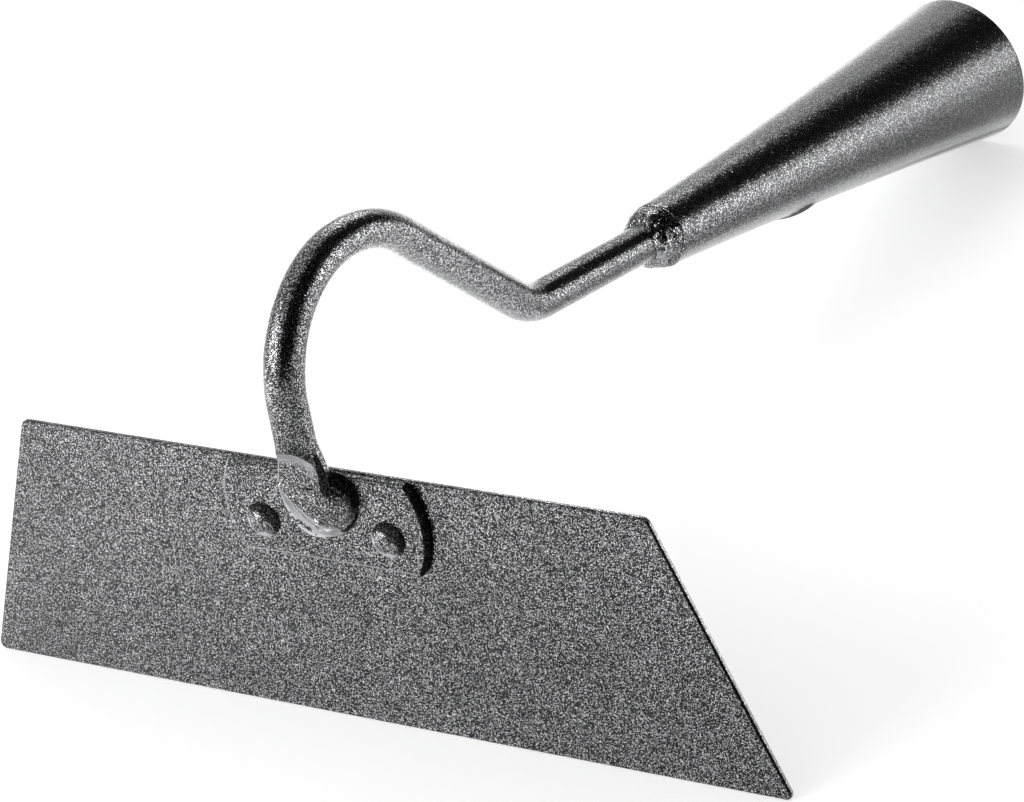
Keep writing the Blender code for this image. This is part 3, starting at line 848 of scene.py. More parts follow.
@dataclass
class ReinforcingPlate:
    """The riveted plate with its arched ends and its soft front edge.

    front_from and top_from are turns round the soft edge, from the side wall to the front,
    between which the edge's painted light and shade end and the top edge's painted shade line
    comes. The right end gets painted shade, the top's wall a painted shadow of the gap behind
    it, and the lower edge and the left end a painted highlight.
    """

    half_width: float = 24.8
    top: float = Blade.height
    height: float = 20.7
    end_radius: float = 19.0
    front: float = -1.9
    back: float = -0.3
    back_chamfer: float = 0.1
    edge_round: float = 0.8
    face_insets: tuple[float, ...] = (1.2, 2.6, 4.2, 6.0, 8.0, 9.9)
    end_steps: int = 40
    edge_steps: int = 8
    columns: int = 160
    waviness: float = 0.05
    wave_size: float = 7.0
    wave_seed: float = 2.2
    wave_inset: Flat = (0.0, 2.0)
    # Painted shade on the right end and along the top, painted shadow of the gap under the top edge, painted
    # highlight along the lower edge and left end
    end_dark: float = 0.95
    top_dark: float = 0.6
    gap_dark: float = 0.85
    low_pale: float = 0.68
    front_from: Flat = (QUARTER - 0.25, QUARTER)
    top_from: Flat = (0.5, 0.8)

    def half_at(self, height: float) -> float:
        """Give half the plate's width at a height: its ends are arcs.

        Args:
            height: The height above the cutting edge.

        Returns:
            Half the width.
        """
        middle = self.top - self.height / 2
        sagitta = self.end_radius - math.sqrt(self.end_radius**2 - (height - middle) ** 2)
        return self.half_width - sagitta

    def outline(self, inset: float) -> list[Flat]:
        """Give the plate's outline, from the lower left corner round by the top.

        Args:
            inset: How far the outline is drawn in.

        Returns:
            Its points: the left end, the top, the right end and the lower edge.
        """
        low, high = self.top - self.height + inset, self.top - inset
        heights = [low + (high - low) * k / self.end_steps for k in range(self.end_steps + 1)]
        left = [(-self.half_at(z) + inset, z) for z in heights]
        right = [(self.half_at(z) - inset, z) for z in reversed(heights)]
        above = [(x, high) for x in between(left[-1][0], right[0][0], self.columns)]
        below = [(x, low) for x in between(right[-1][0], left[0][0], self.columns)]
        return left + above + right + below

    def shades(self, turn: float, wall: bool) -> list[float]:
        """Give the painted light and shade round the outline for one ring.

        Args:
            turn: How far the ring's normal has turned from sideways to the front, from 0 to a quarter turn.
            wall: True for the side wall behind the rounded edge.

        Returns:
            A shade for each outline point.
        """
        side = 1 - smooth_step(turn, *self.front_from)
        end = -self.end_dark * side
        line = -self.top_dark * smooth_step(turn, *self.top_from) * side
        top = -self.gap_dark if wall else line
        low = self.low_pale * side
        ends = self.end_steps + 1
        return [low] * ends + [top] * (self.columns - 1) + [end] * ends + [low] * (self.columns - 1)

    def build(self, coats: Coats) -> bpy.types.Object:
        """Skin the plate from its back over its soft front edge to the middle of its front.

        Args:
            coats: The coats.

        Returns:
            The plate.
        """
        soft = self.edge_round
        wall = [(self.back_chamfer, self.back, 0.0), (0.0, self.back - self.back_chamfer, 0.0)]
        plan = wall + [
            (soft - soft * math.cos(a), self.front + soft - soft * math.sin(a), a)
            for a in quarter_turns(self.edge_steps)
        ]
        plan += [(inset, self.front, QUARTER) for inset in self.face_insets]
        rings = []
        for inset, depth, _ in plan:
            wave = self.waviness * smooth_step(inset, *self.wave_inset)
            rings.append([
                (x, depth + wave * lumps((x, 0.0, z), self.wave_size, self.wave_seed), z)
                for x, z in self.outline(inset)
            ])
        shades = [self.shades(turn, k < len(wall)) for k, (_, _, turn) in enumerate(plan)]
        plate = skin("reinforcing_plate_soft", rings, STANCE, shades)
        return stand_in(plate, "reinforcing_plate", coats, Finish.FLAT)


@dataclass
class Rivet:
    """One rivet: a hand-set dome on the plate, a shank, and a flatter tail behind.

    On the head a painted shade lies towards the upper right, beyond a reach from an offset middle,
    both in shares of its radius, and a painted highlight on the part of its rim that faces rim_at.
    """

    name: str
    node: str
    across: float
    height: float = 45.9
    head_radius: float = 3.75
    head_rise: float = 2.05
    dome_curve: float = 2.1
    brow: float = 0.6
    brow_bulge: float = 0.05
    seat: float = -1.85
    shank_radius: float = 2.1
    back: float = 1.3
    tail_radius: float = 3.3
    tail_lip: float = 0.2
    tail_rise: float = 1.0
    dome_steps: int = 24
    tail_steps: int = 8
    sides: int = 96
    dent: float = 0.1
    dent_size: float = 1.7
    dent_spread: float = 0.3
    # Painted shade towards the upper right of the head and a painted highlight on its lower left rim
    shade_middle: Flat = (-0.21, -0.28)
    shade_reach: Flat = (0.92, 1.04)
    crescent_painted_shade: float = 0.85
    rim_at: float = math.radians(232)
    rim_spread: Flat = (0.1, 0.5)
    rim_share: Flat = (0.42, 0.62)

    def shade(self, x: float, z: float) -> float:
        """Give the painted light and shade on the head: painted shade towards the upper right, a painted
        highlight on the lower left rim.

        Args:
            x: Place to the right of the head's middle.
            z: Place above it.

        Returns:
            The shade.
        """
        x, z = x / self.head_radius, z / self.head_radius
        share = math.hypot(x, z)
        away = math.hypot(x - self.shade_middle[0], z - self.shade_middle[1])
        turn = math.atan2(z, x) - self.rim_at
        rim = smooth_step(share, *self.rim_share) * smooth_step(math.cos(turn), *self.rim_spread)
        return rim - self.crescent_painted_shade * smooth_step(away, *self.shade_reach)

    def profile(self) -> list[Flat]:
        """Give the rivet's side line, which is turned about its middle.

        Returns:
            Radius and depth of each point, from the head's crown to the tail's middle.
        """
        shares = [math.sin(a) for a in quarter_turns(self.dome_steps)[1:]]
        brow_top = self.seat - self.brow
        dome = [
            (self.head_radius * share, brow_top - self.head_rise * (1 - share**self.dome_curve))
            for share in shares
        ]
        waist = [
            (self.head_radius + self.brow_bulge, self.seat - self.brow / 2),
            (self.head_radius - self.brow_bulge, self.seat),
            (self.shank_radius, self.seat),
            (self.shank_radius, self.back),
            (self.tail_radius, self.back),
        ]
        lip = self.back + self.tail_lip
        tail = [
            (self.tail_radius * math.cos(a), lip + self.tail_rise * math.sin(a))
            for a in quarter_turns(self.tail_steps)[:-1]
        ]
        return dome + waist + tail

    def build(self, coats: Coats) -> bpy.types.Object:
        """Turn the profile, with a few hammer dents in the head.

        Args:
            coats: The coats.

        Returns:
            The rivet.
        """
        rings = []
        shades = []
        for radius, depth in self.profile():
            ring = []
            for k in range(self.sides):
                angle = math.tau * k / self.sides
                x, z = radius * math.cos(angle), radius * math.sin(angle)
                push = self.dent * lumps((x, depth, z), self.dent_size, self.across)
                spread = 1 + self.dent_spread * push / self.head_radius
                ring.append((self.across + x * spread, depth + push, self.height + z * spread))
            rings.append(ring)
            in_front = depth <= self.seat
            shades.append([self.shade(x - self.across, z - self.height) * in_front for x, _, z in ring])
        rivet = skin(self.name, rings, STANCE, shades)
        return stand_in(rivet, self.node, coats, Finish.HEAD)


@dataclass
class SwanNeck:
    """The bent round rod with its foot pressed flat against the plate.

    Places on the foot's front are read in the plane crescent_plane, along the photograph's line
    of sight: the upper line of the painted highlight's crescent, and where the painted shade of the flank and
    brow and the crescent's tail begin and end.
    """

    middle: float = 0.8
    radius: float = 4.2
    front: float = 6.0
    foot_bottom: float = 51.4
    arch_start: float = 75.8
    arch_front_radius: float = 23.9
    arch_back_radius: float = 30.3
    fall_angle: float = math.radians(43.25)
    fall_length: float = 50.0
    elbow_radius: float = 19.0
    socket_drop: float = math.radians(8.7)
    elbow_to_socket: float = 50.2
    inside_socket: float = 12.0
    arc_step: float = math.radians(1.5)
    foot_step: float = 0.2
    run_step: float = 0.8
    sides: int = 96
    press_top: float = 68.5
    press_flat: float = 62.8
    press_step_top: float = 67.6
    press_step_curve: float = 1.8
    press_face: float = 1.1
    press_round: Flat = (1.3, 3.0)
    press_round_across: Flat = (-0.4, 0.4)
    seat: float = 4.1
    press_back: Flat = (60.0, 64.0)
    spread_left: float = 2.0
    spread_left_bottom: float = 58.0
    spread_right: float = 1.6
    spread_right_bottom: float = 61.5
    slant_top: float = 58.6
    slant_reach: float = 7.8
    slant_curve: float = 1.3
    end_narrowing: float = 1.2
    waviness: float = 0.035
    wave_size: float = 6.0
    wave_seed: float = 3.1
    wave_round: float = 2.0
    crescent: tuple[Flat, ...] = (
        (-6.0, 65.2), (-2.48, 65.98), (0.91, 66.24), (2.54, 65.92), (3.87, 65.33), (5.2, 64.74),
        (5.91, 63.61), (6.14, 62.52),
    )
    crescent_plane: float = -8.0
    # Painted highlight of the crescent under the step, painted shade on the right flank and over the step,
    # and a painted highlight line and painted shade line down the left edge
    crescent_width: Flat = (0.6, 2.7)
    crescent_shade: float = 0.72
    crescent_line: float = 0.25
    crescent_line_width: Flat = (0.1, 0.5)
    tail_across: Flat = (4.3, 5.8)
    tail_top: Flat = (62.6, 64.4)
    flank: float = 0.92
    flank_bottom: Flat = (56.5, 58.5)
    flank_top: Flat = (66.0, 70.5)
    brow: float = 0.6
    brow_across: Flat = (-3.0, 1.5)
    brow_rise: Flat = (0.8, 4.5)
    shade_above: float = 4.0
    rim_top: float = 66.5
    rim_from: float = 150.0
    rim_paleness: float = 0.85
    rim_pale: Flat = (159.0, 7.0)
    rim_dark: Flat = (177.0, 6.0)

    def shade(self, point: Point, angle: float) -> float:
        """Give the painted light and shade on the foot.

        A painted highlight lies in a crescent under the step, painted shade over it and on the right
        flank, and a painted highlight line and a painted shade line run down the left edge.

        Args:
            point: The point, in the blade's frame.
            angle: The point's angle round the rod's axis, in degrees from +X towards the front.

        Returns:
            The shade, 0 away from the foot's front.
        """
        x, y, z = point
        if z < self.rim_top and angle > self.rim_from:
            return self.rim_paleness * hump(angle, *self.rim_pale) - hump(angle, *self.rim_dark)
        if y > -self.front or z > self.press_top + self.shade_above:
            return 0.0
        shift = (self.crescent_plane - y) / SIGHT.y
        x, z = x + shift * SIGHT.x, z + shift * SIGHT.z
        if x > self.crescent[-1][0]:
            return -self.flank * smooth_step(z, *self.flank_bottom) * (1 - smooth_step(z, *self.flank_top))
        top = float(np.interp(x, *zip(*self.crescent)))
        if z > top:
            above = 1 - smooth_step(z - top, *self.brow_rise)
            return -self.brow * smooth_step(x, *self.brow_across) * above
        far = distance_to_line(x, z, self.crescent)
        pale = self.crescent_shade * (1 - smooth_step(far, *self.crescent_width))
        line = self.crescent_line * (1 - smooth_step(far, *self.crescent_line_width))
        tail = smooth_step(x, *self.tail_across) * (1 - smooth_step(z, *self.tail_top))
        return (line + pale) * (1 - tail)

    def arch(self) -> list[Flat]:
        """Give the arch's points, from the top of the upright to the falling run."""
        first = bend((-self.front, self.arch_start), QUARTER, -QUARTER, self.arch_front_radius, self.arc_step)
        return first + bend(first[-1], 0.0, -self.fall_angle, self.arch_back_radius, self.arc_step)[1:]

    def corner(self) -> Flat:
        """Give the point where the falling run's axis meets the socket's axis."""
        return along(self.arch()[-1], -self.fall_angle, self.fall_length)

    def small_end(self) -> Flat:
        """Give the place of the socket's small end on its axis."""
        return along(self.corner(), -self.socket_drop, self.elbow_to_socket)

    def run(self, start: Flat, end: Flat, step: float) -> list[Flat]:
        """Give evenly spaced points of a straight run.

        Args:
            start: Where it starts; this point is left out.
            end: Where it ends.
            step: About how far its points are apart.

        Returns:
            The points.
        """
        count = max(round(math.dist(start, end) / step), 1)
        return [
            (start[0] + (end[0] - start[0]) * k / count, start[1] + (end[1] - start[1]) * k / count)
            for k in range(1, count + 1)
        ]

    def path(self) -> list[Flat]:
        """Give the rod's whole axis in Y and Z.

        Returns:
            Its points, from the foot to the rod's end in the socket.
        """
        bottom = (-self.front, self.foot_bottom)
        pressed_top = (-self.front, self.press_top)
        arch = self.arch()
        turn = self.fall_angle - self.socket_drop
        trim = self.elbow_radius * math.tan(turn / 2)
        elbow_start = along(self.corner(), -self.fall_angle, -trim)
        elbow = bend(elbow_start, -self.fall_angle, turn, self.elbow_radius, self.arc_step)
        end = along(self.small_end(), -self.socket_drop, self.inside_socket)
        points = [bottom, *self.run(bottom, pressed_top, self.foot_step)]
        points += self.run(pressed_top, arch[0], self.run_step)
        points += arch[1:]
        points += self.run(arch[-1], elbow[0], self.run_step)
        points += elbow[1:]
        return points + self.run(elbow[-1], end, self.run_step)

    def sides_at(self, height: float) -> Flat:
        """Give how far the pressed foot reaches left and right of the rod's axis.

        Args:
            height: The height above the cutting edge.

        Returns:
            The reach to the left and the reach to the right.
        """
        top = self.press_top
        left = self.radius + self.spread_left * smooth_step(-height, -top, -self.spread_left_bottom)
        right = self.radius + self.spread_right * smooth_step(-height, -top, -self.spread_right_bottom)
        below = max(self.slant_top - height, 0.0) / (self.slant_top - self.foot_bottom)
        return left - self.slant_reach * below**self.slant_curve, right - self.end_narrowing * below**2

    def press(self, point: Point) -> Point:
        """Press a point of the rod's lower end flat in front and behind, and spread it.

        Args:
            point: The point on the round rod.

        Returns:
            The pressed point, or the same one where the rod stays round.
        """
        x, y, height = point
        if y > 0.0 or height > self.press_top:
            return point
        sideways = (x - self.middle) / self.radius
        left, right = self.sides_at(height)
        x = self.middle + (right - left) / 2 + sideways * (right + left) / 2
        reach = -y - self.front
        rise = min(max((height - self.press_flat) / (self.press_step_top - self.press_flat), 0.0), 1.0)
        face = self.press_face + (self.radius - self.press_face) * rise**self.press_step_curve
        lift = smooth_step(height, *self.press_back)
        seat = self.seat + (self.radius - self.seat) * lift
        soft_left, soft_right = self.press_round
        soft = soft_left + (soft_right - soft_left) * smooth_step(sideways, *self.press_round_across)
        if reach > 0.0:
            return x, -self.front - soft_min(reach, face, min(soft, 2 * reach) * (1 - rise)), height
        return x, -self.front + soft_min(-reach, seat, soft_left * (1 - lift)), height

    def build(self, coats: Coats) -> bpy.types.Object:
        """Sweep the rod along its path, a little wavy as forged, and press its foot.

        Args:
            coats: The coats.

        Returns:
            The rod.
        """
        path = self.path()
        rings = []
        for index, (depth, height) in enumerate(path):
            before, after = path[max(index - 1, 0)], path[min(index + 1, len(path) - 1)]
            heading = math.atan2(after[1] - before[1], after[0] - before[0])
            ring = []
            for k in range(self.sides):
                angle = math.tau * k / self.sides
                spot = (math.cos(angle) * self.wave_round, depth, height)
                wave = 1 + self.waviness * lumps(spot, self.wave_size, self.wave_seed) / self.radius
                place = along((depth, height), heading + QUARTER, self.radius * wave * math.sin(angle))
                ring.append(self.press((self.middle + self.radius * wave * math.cos(angle), *place)))
            rings.append(ring)
        degrees = [360.0 * k / self.sides for k in range(self.sides)]
        shades = [[self.shade(point, angle) for point, angle in zip(ring, degrees)] for ring in rings]
        rod = skin("swan_neck", rings, STANCE, shades)
        return stand_in(rod, "neck_rod", coats, Finish.ROD)


@dataclass
class FootWeld:
    """The mound of weld round the pressed foot: a round dome at the right, a folded lip at the left.

    The outline goes round the mound on the plate's front. The lip lines run over it from the
    upper left to the lower middle: the inner one is where the foot's face ends. A bead lies in a
    ring where the lip meets the dome.
    """

    middle: Flat = (1.6, 52.6)
    outline: tuple[Flat, ...] = (
        (9.8, 55.2), (9.7, 52.6), (8.9, 50.0), (7.1, 47.8), (4.8, 45.8), (1.6, 44.6), (-2.0, 43.8),
        (-5.3, 44.3), (-7.5, 46.2), (-8.9, 49.4), (-9.7, 53.4), (-8.8, 57.2), (-5.8, 59.4), (-1.0, 59.9),
        (3.4, 59.9), (6.2, 59.7), (8.2, 58.9), (9.4, 57.3),
    )
    inner_lip: tuple[Flat, ...] = (
        (-7.6, 61.0), (-4.9, 57.5), (-2.1, 54.4), (0.6, 52.3), (3.0, 50.8), (6.0, 48.8),
    )
    crease: tuple[Flat, ...] = (
        (-7.1, 57.4), (-6.3, 55.0), (-5.3, 51.4), (-4.2, 49.2), (-2.9, 47.6), (-0.9, 46.3),
    )
    front: float = ReinforcingPlate.front
    back: float = -1.7
    back_share: float = 0.5
    outline_steps: int = 14
    rings: int = 76
    dome_edge: float = 1.6
    lip_edge: float = 2.4
    lip_blend: Flat = (-1.5, 2.5)
    face: float = 5.25
    face_right: float = 3.6
    face_fall: float = 0.85
    lip_drop: float = 1.3
    lip_step: Flat = (-0.2, 0.9)
    lip_slope: float = 0.55
    lip_slope_from: float = 0.4
    dome: Flat = (4.5, 53.9)
    dome_radius: float = 5.5
    dome_rise: float = 5.5
    dome_fall: float = 0.38
    dome_fall_from: float = -1.0
    dome_flatness: float = 4.0
    dome_blend: float = 0.6
    relief_from: Flat = (0.0, 1.2)
    ridge_rise: float = 0.22
    ridge_width: float = 0.35
    crease_depth: float = 0.75
    crease_width: float = 0.38
    bead: Flat = (3.2, 49.2)
    bead_radius: float = 1.5
    bead_rise: float = 0.6
    bead_width: float = 0.5
    lump: float = 0.14
    lump_size: float = 1.6
    lump_seed: float = 5.3
    fine_share: float = 0.5
    fine_size: float = 0.8
    fine_seed: float = 1.7
    lip_rough: float = 1.0
    face_rough: float = 0.35
    rough_from: Flat = (-4.0, 0.0)
    # Painted highlights on the lip, its lines, its rim and the bead; painted shade in the crease and over the
    # dome's upper right; a painted contact shadow along the lower right edge
    lip_shade: float = 0.72
    lip_from: Flat = (-0.3, 0.2)
    lip_line: float = 0.28
    lip_line_at: Flat = (0.1, 0.45)
    lip_rim: float = 0.28
    lip_rim_reach: Flat = (0.5, 1.1)
    bead_shade: float = 0.75
    bead_shade_width: float = 0.45
    crease_shade: float = 1.1
    crease_shade_width: float = 0.3
    ball_shade: float = 0.97
    ball_shade_span: Flat = (0.74, 0.9)
    ball_end: Flat = (1.12, 1.3)
    ball_side: float = math.radians(52)
    ball_spread: Flat = (-0.1, 0.5)
    edge_shadow_side: float = math.radians(-52)
    edge_shadow_spread: Flat = (0.75, 0.95)
    edge_shadow_reach: Flat = (0.3, 0.7)
    edge_painted_shadow: float = 0.9

    def round_outline(self) -> list[Flat]:
        """Give the smooth closed curve through the outline's points.

        Returns:
            The curve's points.
        """
        count = len(self.outline)
        curve = []
        for k in range(count):
            p0, p1, p2, p3 = [Vector(self.outline[(k + j - 1) % count]) for j in range(4)]
            for step in range(self.outline_steps):
                t = step / self.outline_steps
                place = 0.5 * (
                    2 * p1 + (p2 - p0) * t + (2 * p0 - 5 * p1 + 4 * p2 - p3) * t**2
                    + (3 * p1 - p0 - 3 * p2 + p3) * t**3
                )
                curve.append((place.x, place.y))
        return curve

    def inset(self, curve: list[Flat], share: float) -> list[Flat]:
        """Draw the outline in towards the mound's middle to a share of its size."""
        x0, z0 = self.middle
        return [(x0 + (x - x0) * share, z0 + (z - z0) * share) for x, z in curve]

    def beyond_lip(self, x: float, z: float) -> float:
        """Give the distance down and left of the inner lip's line.

        Args:
            x: Place along the cutting edge.
            z: Height above the cutting edge.

        Returns:
            The distance, negative on the foot's side.
        """
        line = self.inner_lip
        far = distance_to_line(x, z, line)
        for (x0, z0), (x1, z1) in zip(line, line[1:]):
            if x0 <= x <= x1:
                return far if z < z0 + (z1 - z0) * (x - x0) / (x1 - x0) else -far
        return far if x < line[0][0] else -far

    def off_bead(self, x: float, z: float) -> float:
        """Give the distance out from the bead's ring, negative inside it."""
        return math.hypot(x - self.bead[0], z - self.bead[1]) - self.bead_radius

    def height(self, x: float, z: float, edge: float) -> float:
        """Give how far the mound stands off the plate's front at a place.

        Args:
            x: Place along the cutting edge.
            z: Height above the cutting edge.
            edge: Distance from the mound's outline.

        Returns:
            The height in millimetres.
        """
        beyond = self.beyond_lip(x, z)
        wide = self.dome_edge + (self.lip_edge - self.dome_edge) * smooth_step(beyond, *self.lip_blend)
        share = min(edge / wide, 1.0)
        rim = math.sqrt(max(1 - (1 - share) ** 2, 0.0))
        top = self.face - self.lip_drop * smooth_step(beyond, *self.lip_step)
        top -= self.lip_slope * max(beyond - self.lip_slope_from, 0.0)
        top -= self.face_fall * max(x - self.face_right, 0.0)
        far = math.hypot(x - self.dome[0], z - self.dome[1])
        crown = self.dome_rise - self.dome_fall * max(x - self.dome[0] - self.dome_fall_from, 0.0)
        ball = crown * math.sqrt(max(1 - (far / self.dome_radius) ** self.dome_flatness, 0.0))
        height = rim * soft_max(top, ball, self.dome_blend)
        ease = smooth_step(edge, *self.relief_from)
        height += ease * self.ridge_rise * hump(distance_to_line(x, z, self.inner_lip), 0.0, self.ridge_width)
        height -= ease * self.crease_depth * hump(distance_to_line(x, z, self.crease), 0.0, self.crease_width)
        height += ease * self.bead_rise * hump(self.off_bead(x, z), 0.0, self.bead_width)
        rough = self.face_rough + (self.lip_rough - self.face_rough) * smooth_step(beyond, *self.rough_from)
        coarse = lumps((x, 0.0, z), self.lump_size, self.lump_seed)
        fine = lumps((x, 1.0, z), self.fine_size, self.fine_seed)
        return height + ease * rough * self.lump * (coarse + self.fine_share * fine)

    def shade(self, x: float, z: float, edge: float) -> float:
        """Give the painted light and shade: painted highlights on the folded lip and the bead, painted shade
        in its crease, over the dome and along its lower right edge.

        Args:
            x: Place along the cutting edge.
            z: Height above the cutting edge.
            edge: Distance from the mound's outline.

        Returns:
            The shade.
        """
        beyond = self.beyond_lip(x, z)
        rims = self.lip_line * hump(beyond, *self.lip_line_at)
        rims += self.lip_rim * (1 - smooth_step(edge, *self.lip_rim_reach))
        lip = smooth_step(beyond, *self.lip_from) * (self.lip_shade + rims)
        lip = max(lip, self.bead_shade * hump(self.off_bead(x, z), 0.0, self.bead_shade_width))
        lip -= self.crease_shade * hump(distance_to_line(x, z, self.crease), 0.0, self.crease_shade_width)
        # Painted shade over the dome's upper right
        away = math.hypot(x - self.dome[0], z - self.dome[1]) / self.dome_radius
        turn = math.atan2(z - self.dome[1], x - self.dome[0])
        side = smooth_step(math.cos(turn - self.ball_side), *self.ball_spread)
        painted_shade = self.ball_shade * side * smooth_step(away, *self.ball_shade_span)
        painted_shade *= 1 - smooth_step(away, *self.ball_end)
        # Painted contact shadow along the mound's lower right edge
        edge_shadow = smooth_step(math.cos(turn - self.edge_shadow_side), *self.edge_shadow_spread)
        edge_shadow *= 1 - smooth_step(edge, *self.edge_shadow_reach)
        painted_shade = max(painted_shade, self.edge_painted_shadow * edge_shadow)
        return max(min(lip * (1 - side) - painted_shade, 1.0), -1.0)

    def build(self, coats: Coats) -> bpy.types.Object:
        """Skin the mound from its flat back over its outline to its crown.

        Args:
            coats: The coats.

        Returns:
            The mound.
        """
        curve = self.round_outline()
        rings = [[(x, self.back, z) for x, z in self.inset(curve, share)] for share in (self.back_share, 1.0)]
        shades = [[0.0] * len(curve) for _ in rings]
        for k in range(self.rings):
            share = math.sin(QUARTER * (1 - k / self.rings))
            ring = []
            shade = []
            for (x, z), (edge_x, edge_z) in zip(self.inset(curve, share), curve):
                edge = math.hypot(edge_x - x, edge_z - z)
                ring.append((x, self.front - self.height(x, z, edge), z))
                shade.append(self.shade(x, z, edge))
            rings.append(ring)
            shades.append(shade)
        mound = skin("foot_weld_mound", rings, STANCE, shades)
        return stand_in(mound, "foot_weld", coats, Finish.MOUND)


@dataclass
class SocketAxis:
    """The line that the socket is turned about, with its own X, Y (down) and Z (along)."""

    neck: SwanNeck

    def matrix(self) -> Matrix:
        """Give the matrix from the socket's frame, in metres, to the row's frame.

        Returns:
            The matrix.
        """
        depth, height = self.neck.small_end()
        move = Matrix.Translation((self.neck.middle * MM, depth * MM, height * MM))
        return STANCE @ move @ Matrix.Rotation(-self.neck.socket_drop - QUARTER, 4, "X")


@dataclass
class HandleSocket:
    """The rolled cone, open at its askew mouth, with a screw hole in a swelling below.

    The swelling is part of an egg shape of half sizes across, down and along. low_line and
    low_band are angles in degrees from +X downwards, with their widths, of a painted reflection
    low on the side: a dark line and a pale band. The swelling's edge gets painted shade.
    """

    length: float = 136.6
    small_radius: float = 7.2
    mouth_radius: float = 18.0
    sag: float = 0.75
    wall: float = 1.5
    lower_lead: float = 2.9
    left_lead: float = 1.6
    mouth_rounds: int = 4
    edge_round: float = 0.35
    edge_steps: int = 4
    sides: int = 192
    rings: int = 90
    hole_radius: float = 2.5
    hole_at: float = 53.5
    hole_sides: int = 64
    swelling: Point = (8.8, 7.5, 15.0)
    swelling_centre: float = 4.0
    swelling_blend: float = 0.25
    waviness: float = 0.05
    wave_size: float = 5.0
    wave_seed: float = 7.7
    wave_round: float = 6.0
    wave_stretch: float = 2.5
    wave_end: float = 10.0
    # Painted reflection low on the side, and painted shade on the swelling's edge
    low_from: Flat = (70.0, 110.0)
    low_line: Flat = (50.0, 5.0)
    low_dark: float = 0.5
    low_band: Flat = (36.0, 6.0)
    low_pale: float = 0.35
    lip_dark: float = 0.85
    lip_proud: Flat = (0.08, 0.3)
    lip_near: float = 3.0
    lip_far_share: float = 0.25

    def cone(self, distance: float) -> float:
        """Give the cone's outer radius.

        Args:
            distance: Distance from the small end.

        Returns:
            The radius.
        """
        share = distance / self.length
        straight = self.small_radius + (self.mouth_radius - self.small_radius) * share
        return straight - 4 * self.sag * share * (1 - share)

    def swollen(self, distance: float, down: float, sideways: float) -> float:
        """Give the swelling's reach from the axis in one direction, or 0 where it has none.

        Args:
            distance: Distance from the small end.
            down: The direction's share downwards.
            sideways: The direction's share sideways.

        Returns:
            The reach in millimetres.
        """
        across, deep, long = self.swelling
        shell = 1 - ((distance - self.hole_at) / long) ** 2
        a = (sideways / across) ** 2 + (down / deep) ** 2
        b = -2 * down * self.swelling_centre / deep**2
        c = (self.swelling_centre / deep) ** 2 - shell
        inside = b * b - 4 * a * c
        return (-b + math.sqrt(inside)) / (2 * a) if inside > 0 else 0.0

    def mouth_at(self, angle: float, inset: float) -> float:
        """Give the mouth's distance from the small end.

        Args:
            angle: Angle round the axis, from +X towards +Y, which points down.
            inset: Distance in from the outer surface.

        Returns:
            The distance.
        """
        reach = self.length
        for _ in range(self.mouth_rounds):
            radius = self.cone(reach) - inset
            lead = self.lower_lead * math.sin(angle) - self.left_lead * math.cos(angle)
            reach = self.length + lead * radius / self.mouth_radius
        return reach

    def point(self, share: float, inset: float, end: float, angle: float) -> Point:
        """Give one point of the wall.

        Args:
            share: Share of the length.
            inset: Distance in from the outer surface.
            end: How far the point keeps from the ends, for their rounded edges.
            angle: Angle round the axis, from +X towards +Y, which points down.

        Returns:
            The point in the socket's frame.
        """
        mouth = self.mouth_at(angle, inset)
        distance = end + (mouth - 2 * end) * share
        side, down = math.cos(angle), math.sin(angle)
        radius = self.cone(distance)
        if inset < self.wall / 2:
            radius = soft_max(radius, self.swollen(distance, down, side), self.swelling_blend)
        spot = (side * self.wave_round, down * self.wave_round, distance / self.wave_stretch)
        wave = self.waviness * lumps(spot, self.wave_size, self.wave_seed)
        wave *= min(1.0, (mouth - distance) / self.wave_end) * min(1.0, distance / self.wave_end)
        radius += wave - inset
        return radius * side, radius * down, distance

    def shade(self, point: Point) -> float:
        """Give the painted light and shade: a painted reflection low on the side, a pale band and a dark
        line, and painted shade on the swelling's edge.

        Args:
            point: The point in the socket's frame.

        Returns:
            The shade.
        """
        x, down, distance = point
        angle = math.degrees(math.atan2(down, x))
        far = smooth_step(distance, *self.low_from)
        low = self.low_pale * hump(angle, *self.low_band) - self.low_dark * hump(angle, *self.low_line)
        proud = smooth_step(math.hypot(x, down) - self.cone(distance), *self.lip_proud)
        near = 1 - smooth_step(distance, self.hole_at, self.hole_at + self.lip_near)
        return far * low - proud * self.lip_dark * (self.lip_far_share + (1 - self.lip_far_share) * near)

    def pin(self, place: Matrix) -> bpy.types.Object:
        """Make the cylinder that the screw hole is cut with.

        Args:
            place: The matrix from the socket's frame, in metres, to the row's frame.

        Returns:
            The cylinder, across the socket's lower wall.
        """
        work = bmesh.new()
        depth = 2 * self.cone(self.hole_at)
        middle = Matrix.Translation(Vector((0.0, depth / 2, self.hole_at)) * MM)
        turned = place @ middle @ Matrix.Rotation(QUARTER, 4, "X")
        radius = self.hole_radius * MM
        bmesh.ops.create_cone(
            work, cap_ends=True, segments=self.hole_sides, radius1=radius, radius2=radius, depth=depth * MM,
            matrix=turned,
        )
        return new_object("screw_hole_pin", work)

    def drill(self, socket: bpy.types.Object, place: Matrix) -> None:
        """Cut the screw hole.

        Args:
            socket: The socket, whose mesh is changed.
            place: The matrix from the socket's frame, in metres, to the row's frame.
        """
        pin = self.pin(place)
        cut = socket.modifiers.new("screw_hole", "BOOLEAN")
        cut.operation = "DIFFERENCE"
        cut.solver = "EXACT"
        cut.object = pin
        bpy.context.view_layer.update()
        graph = bpy.context.evaluated_depsgraph_get()
        mesh = bpy.data.meshes.new_from_object(socket.evaluated_get(graph))
        socket.modifiers.clear()
        socket.data = mesh
        bpy.data.objects.remove(pin, do_unlink=True)
        smooth(mesh)

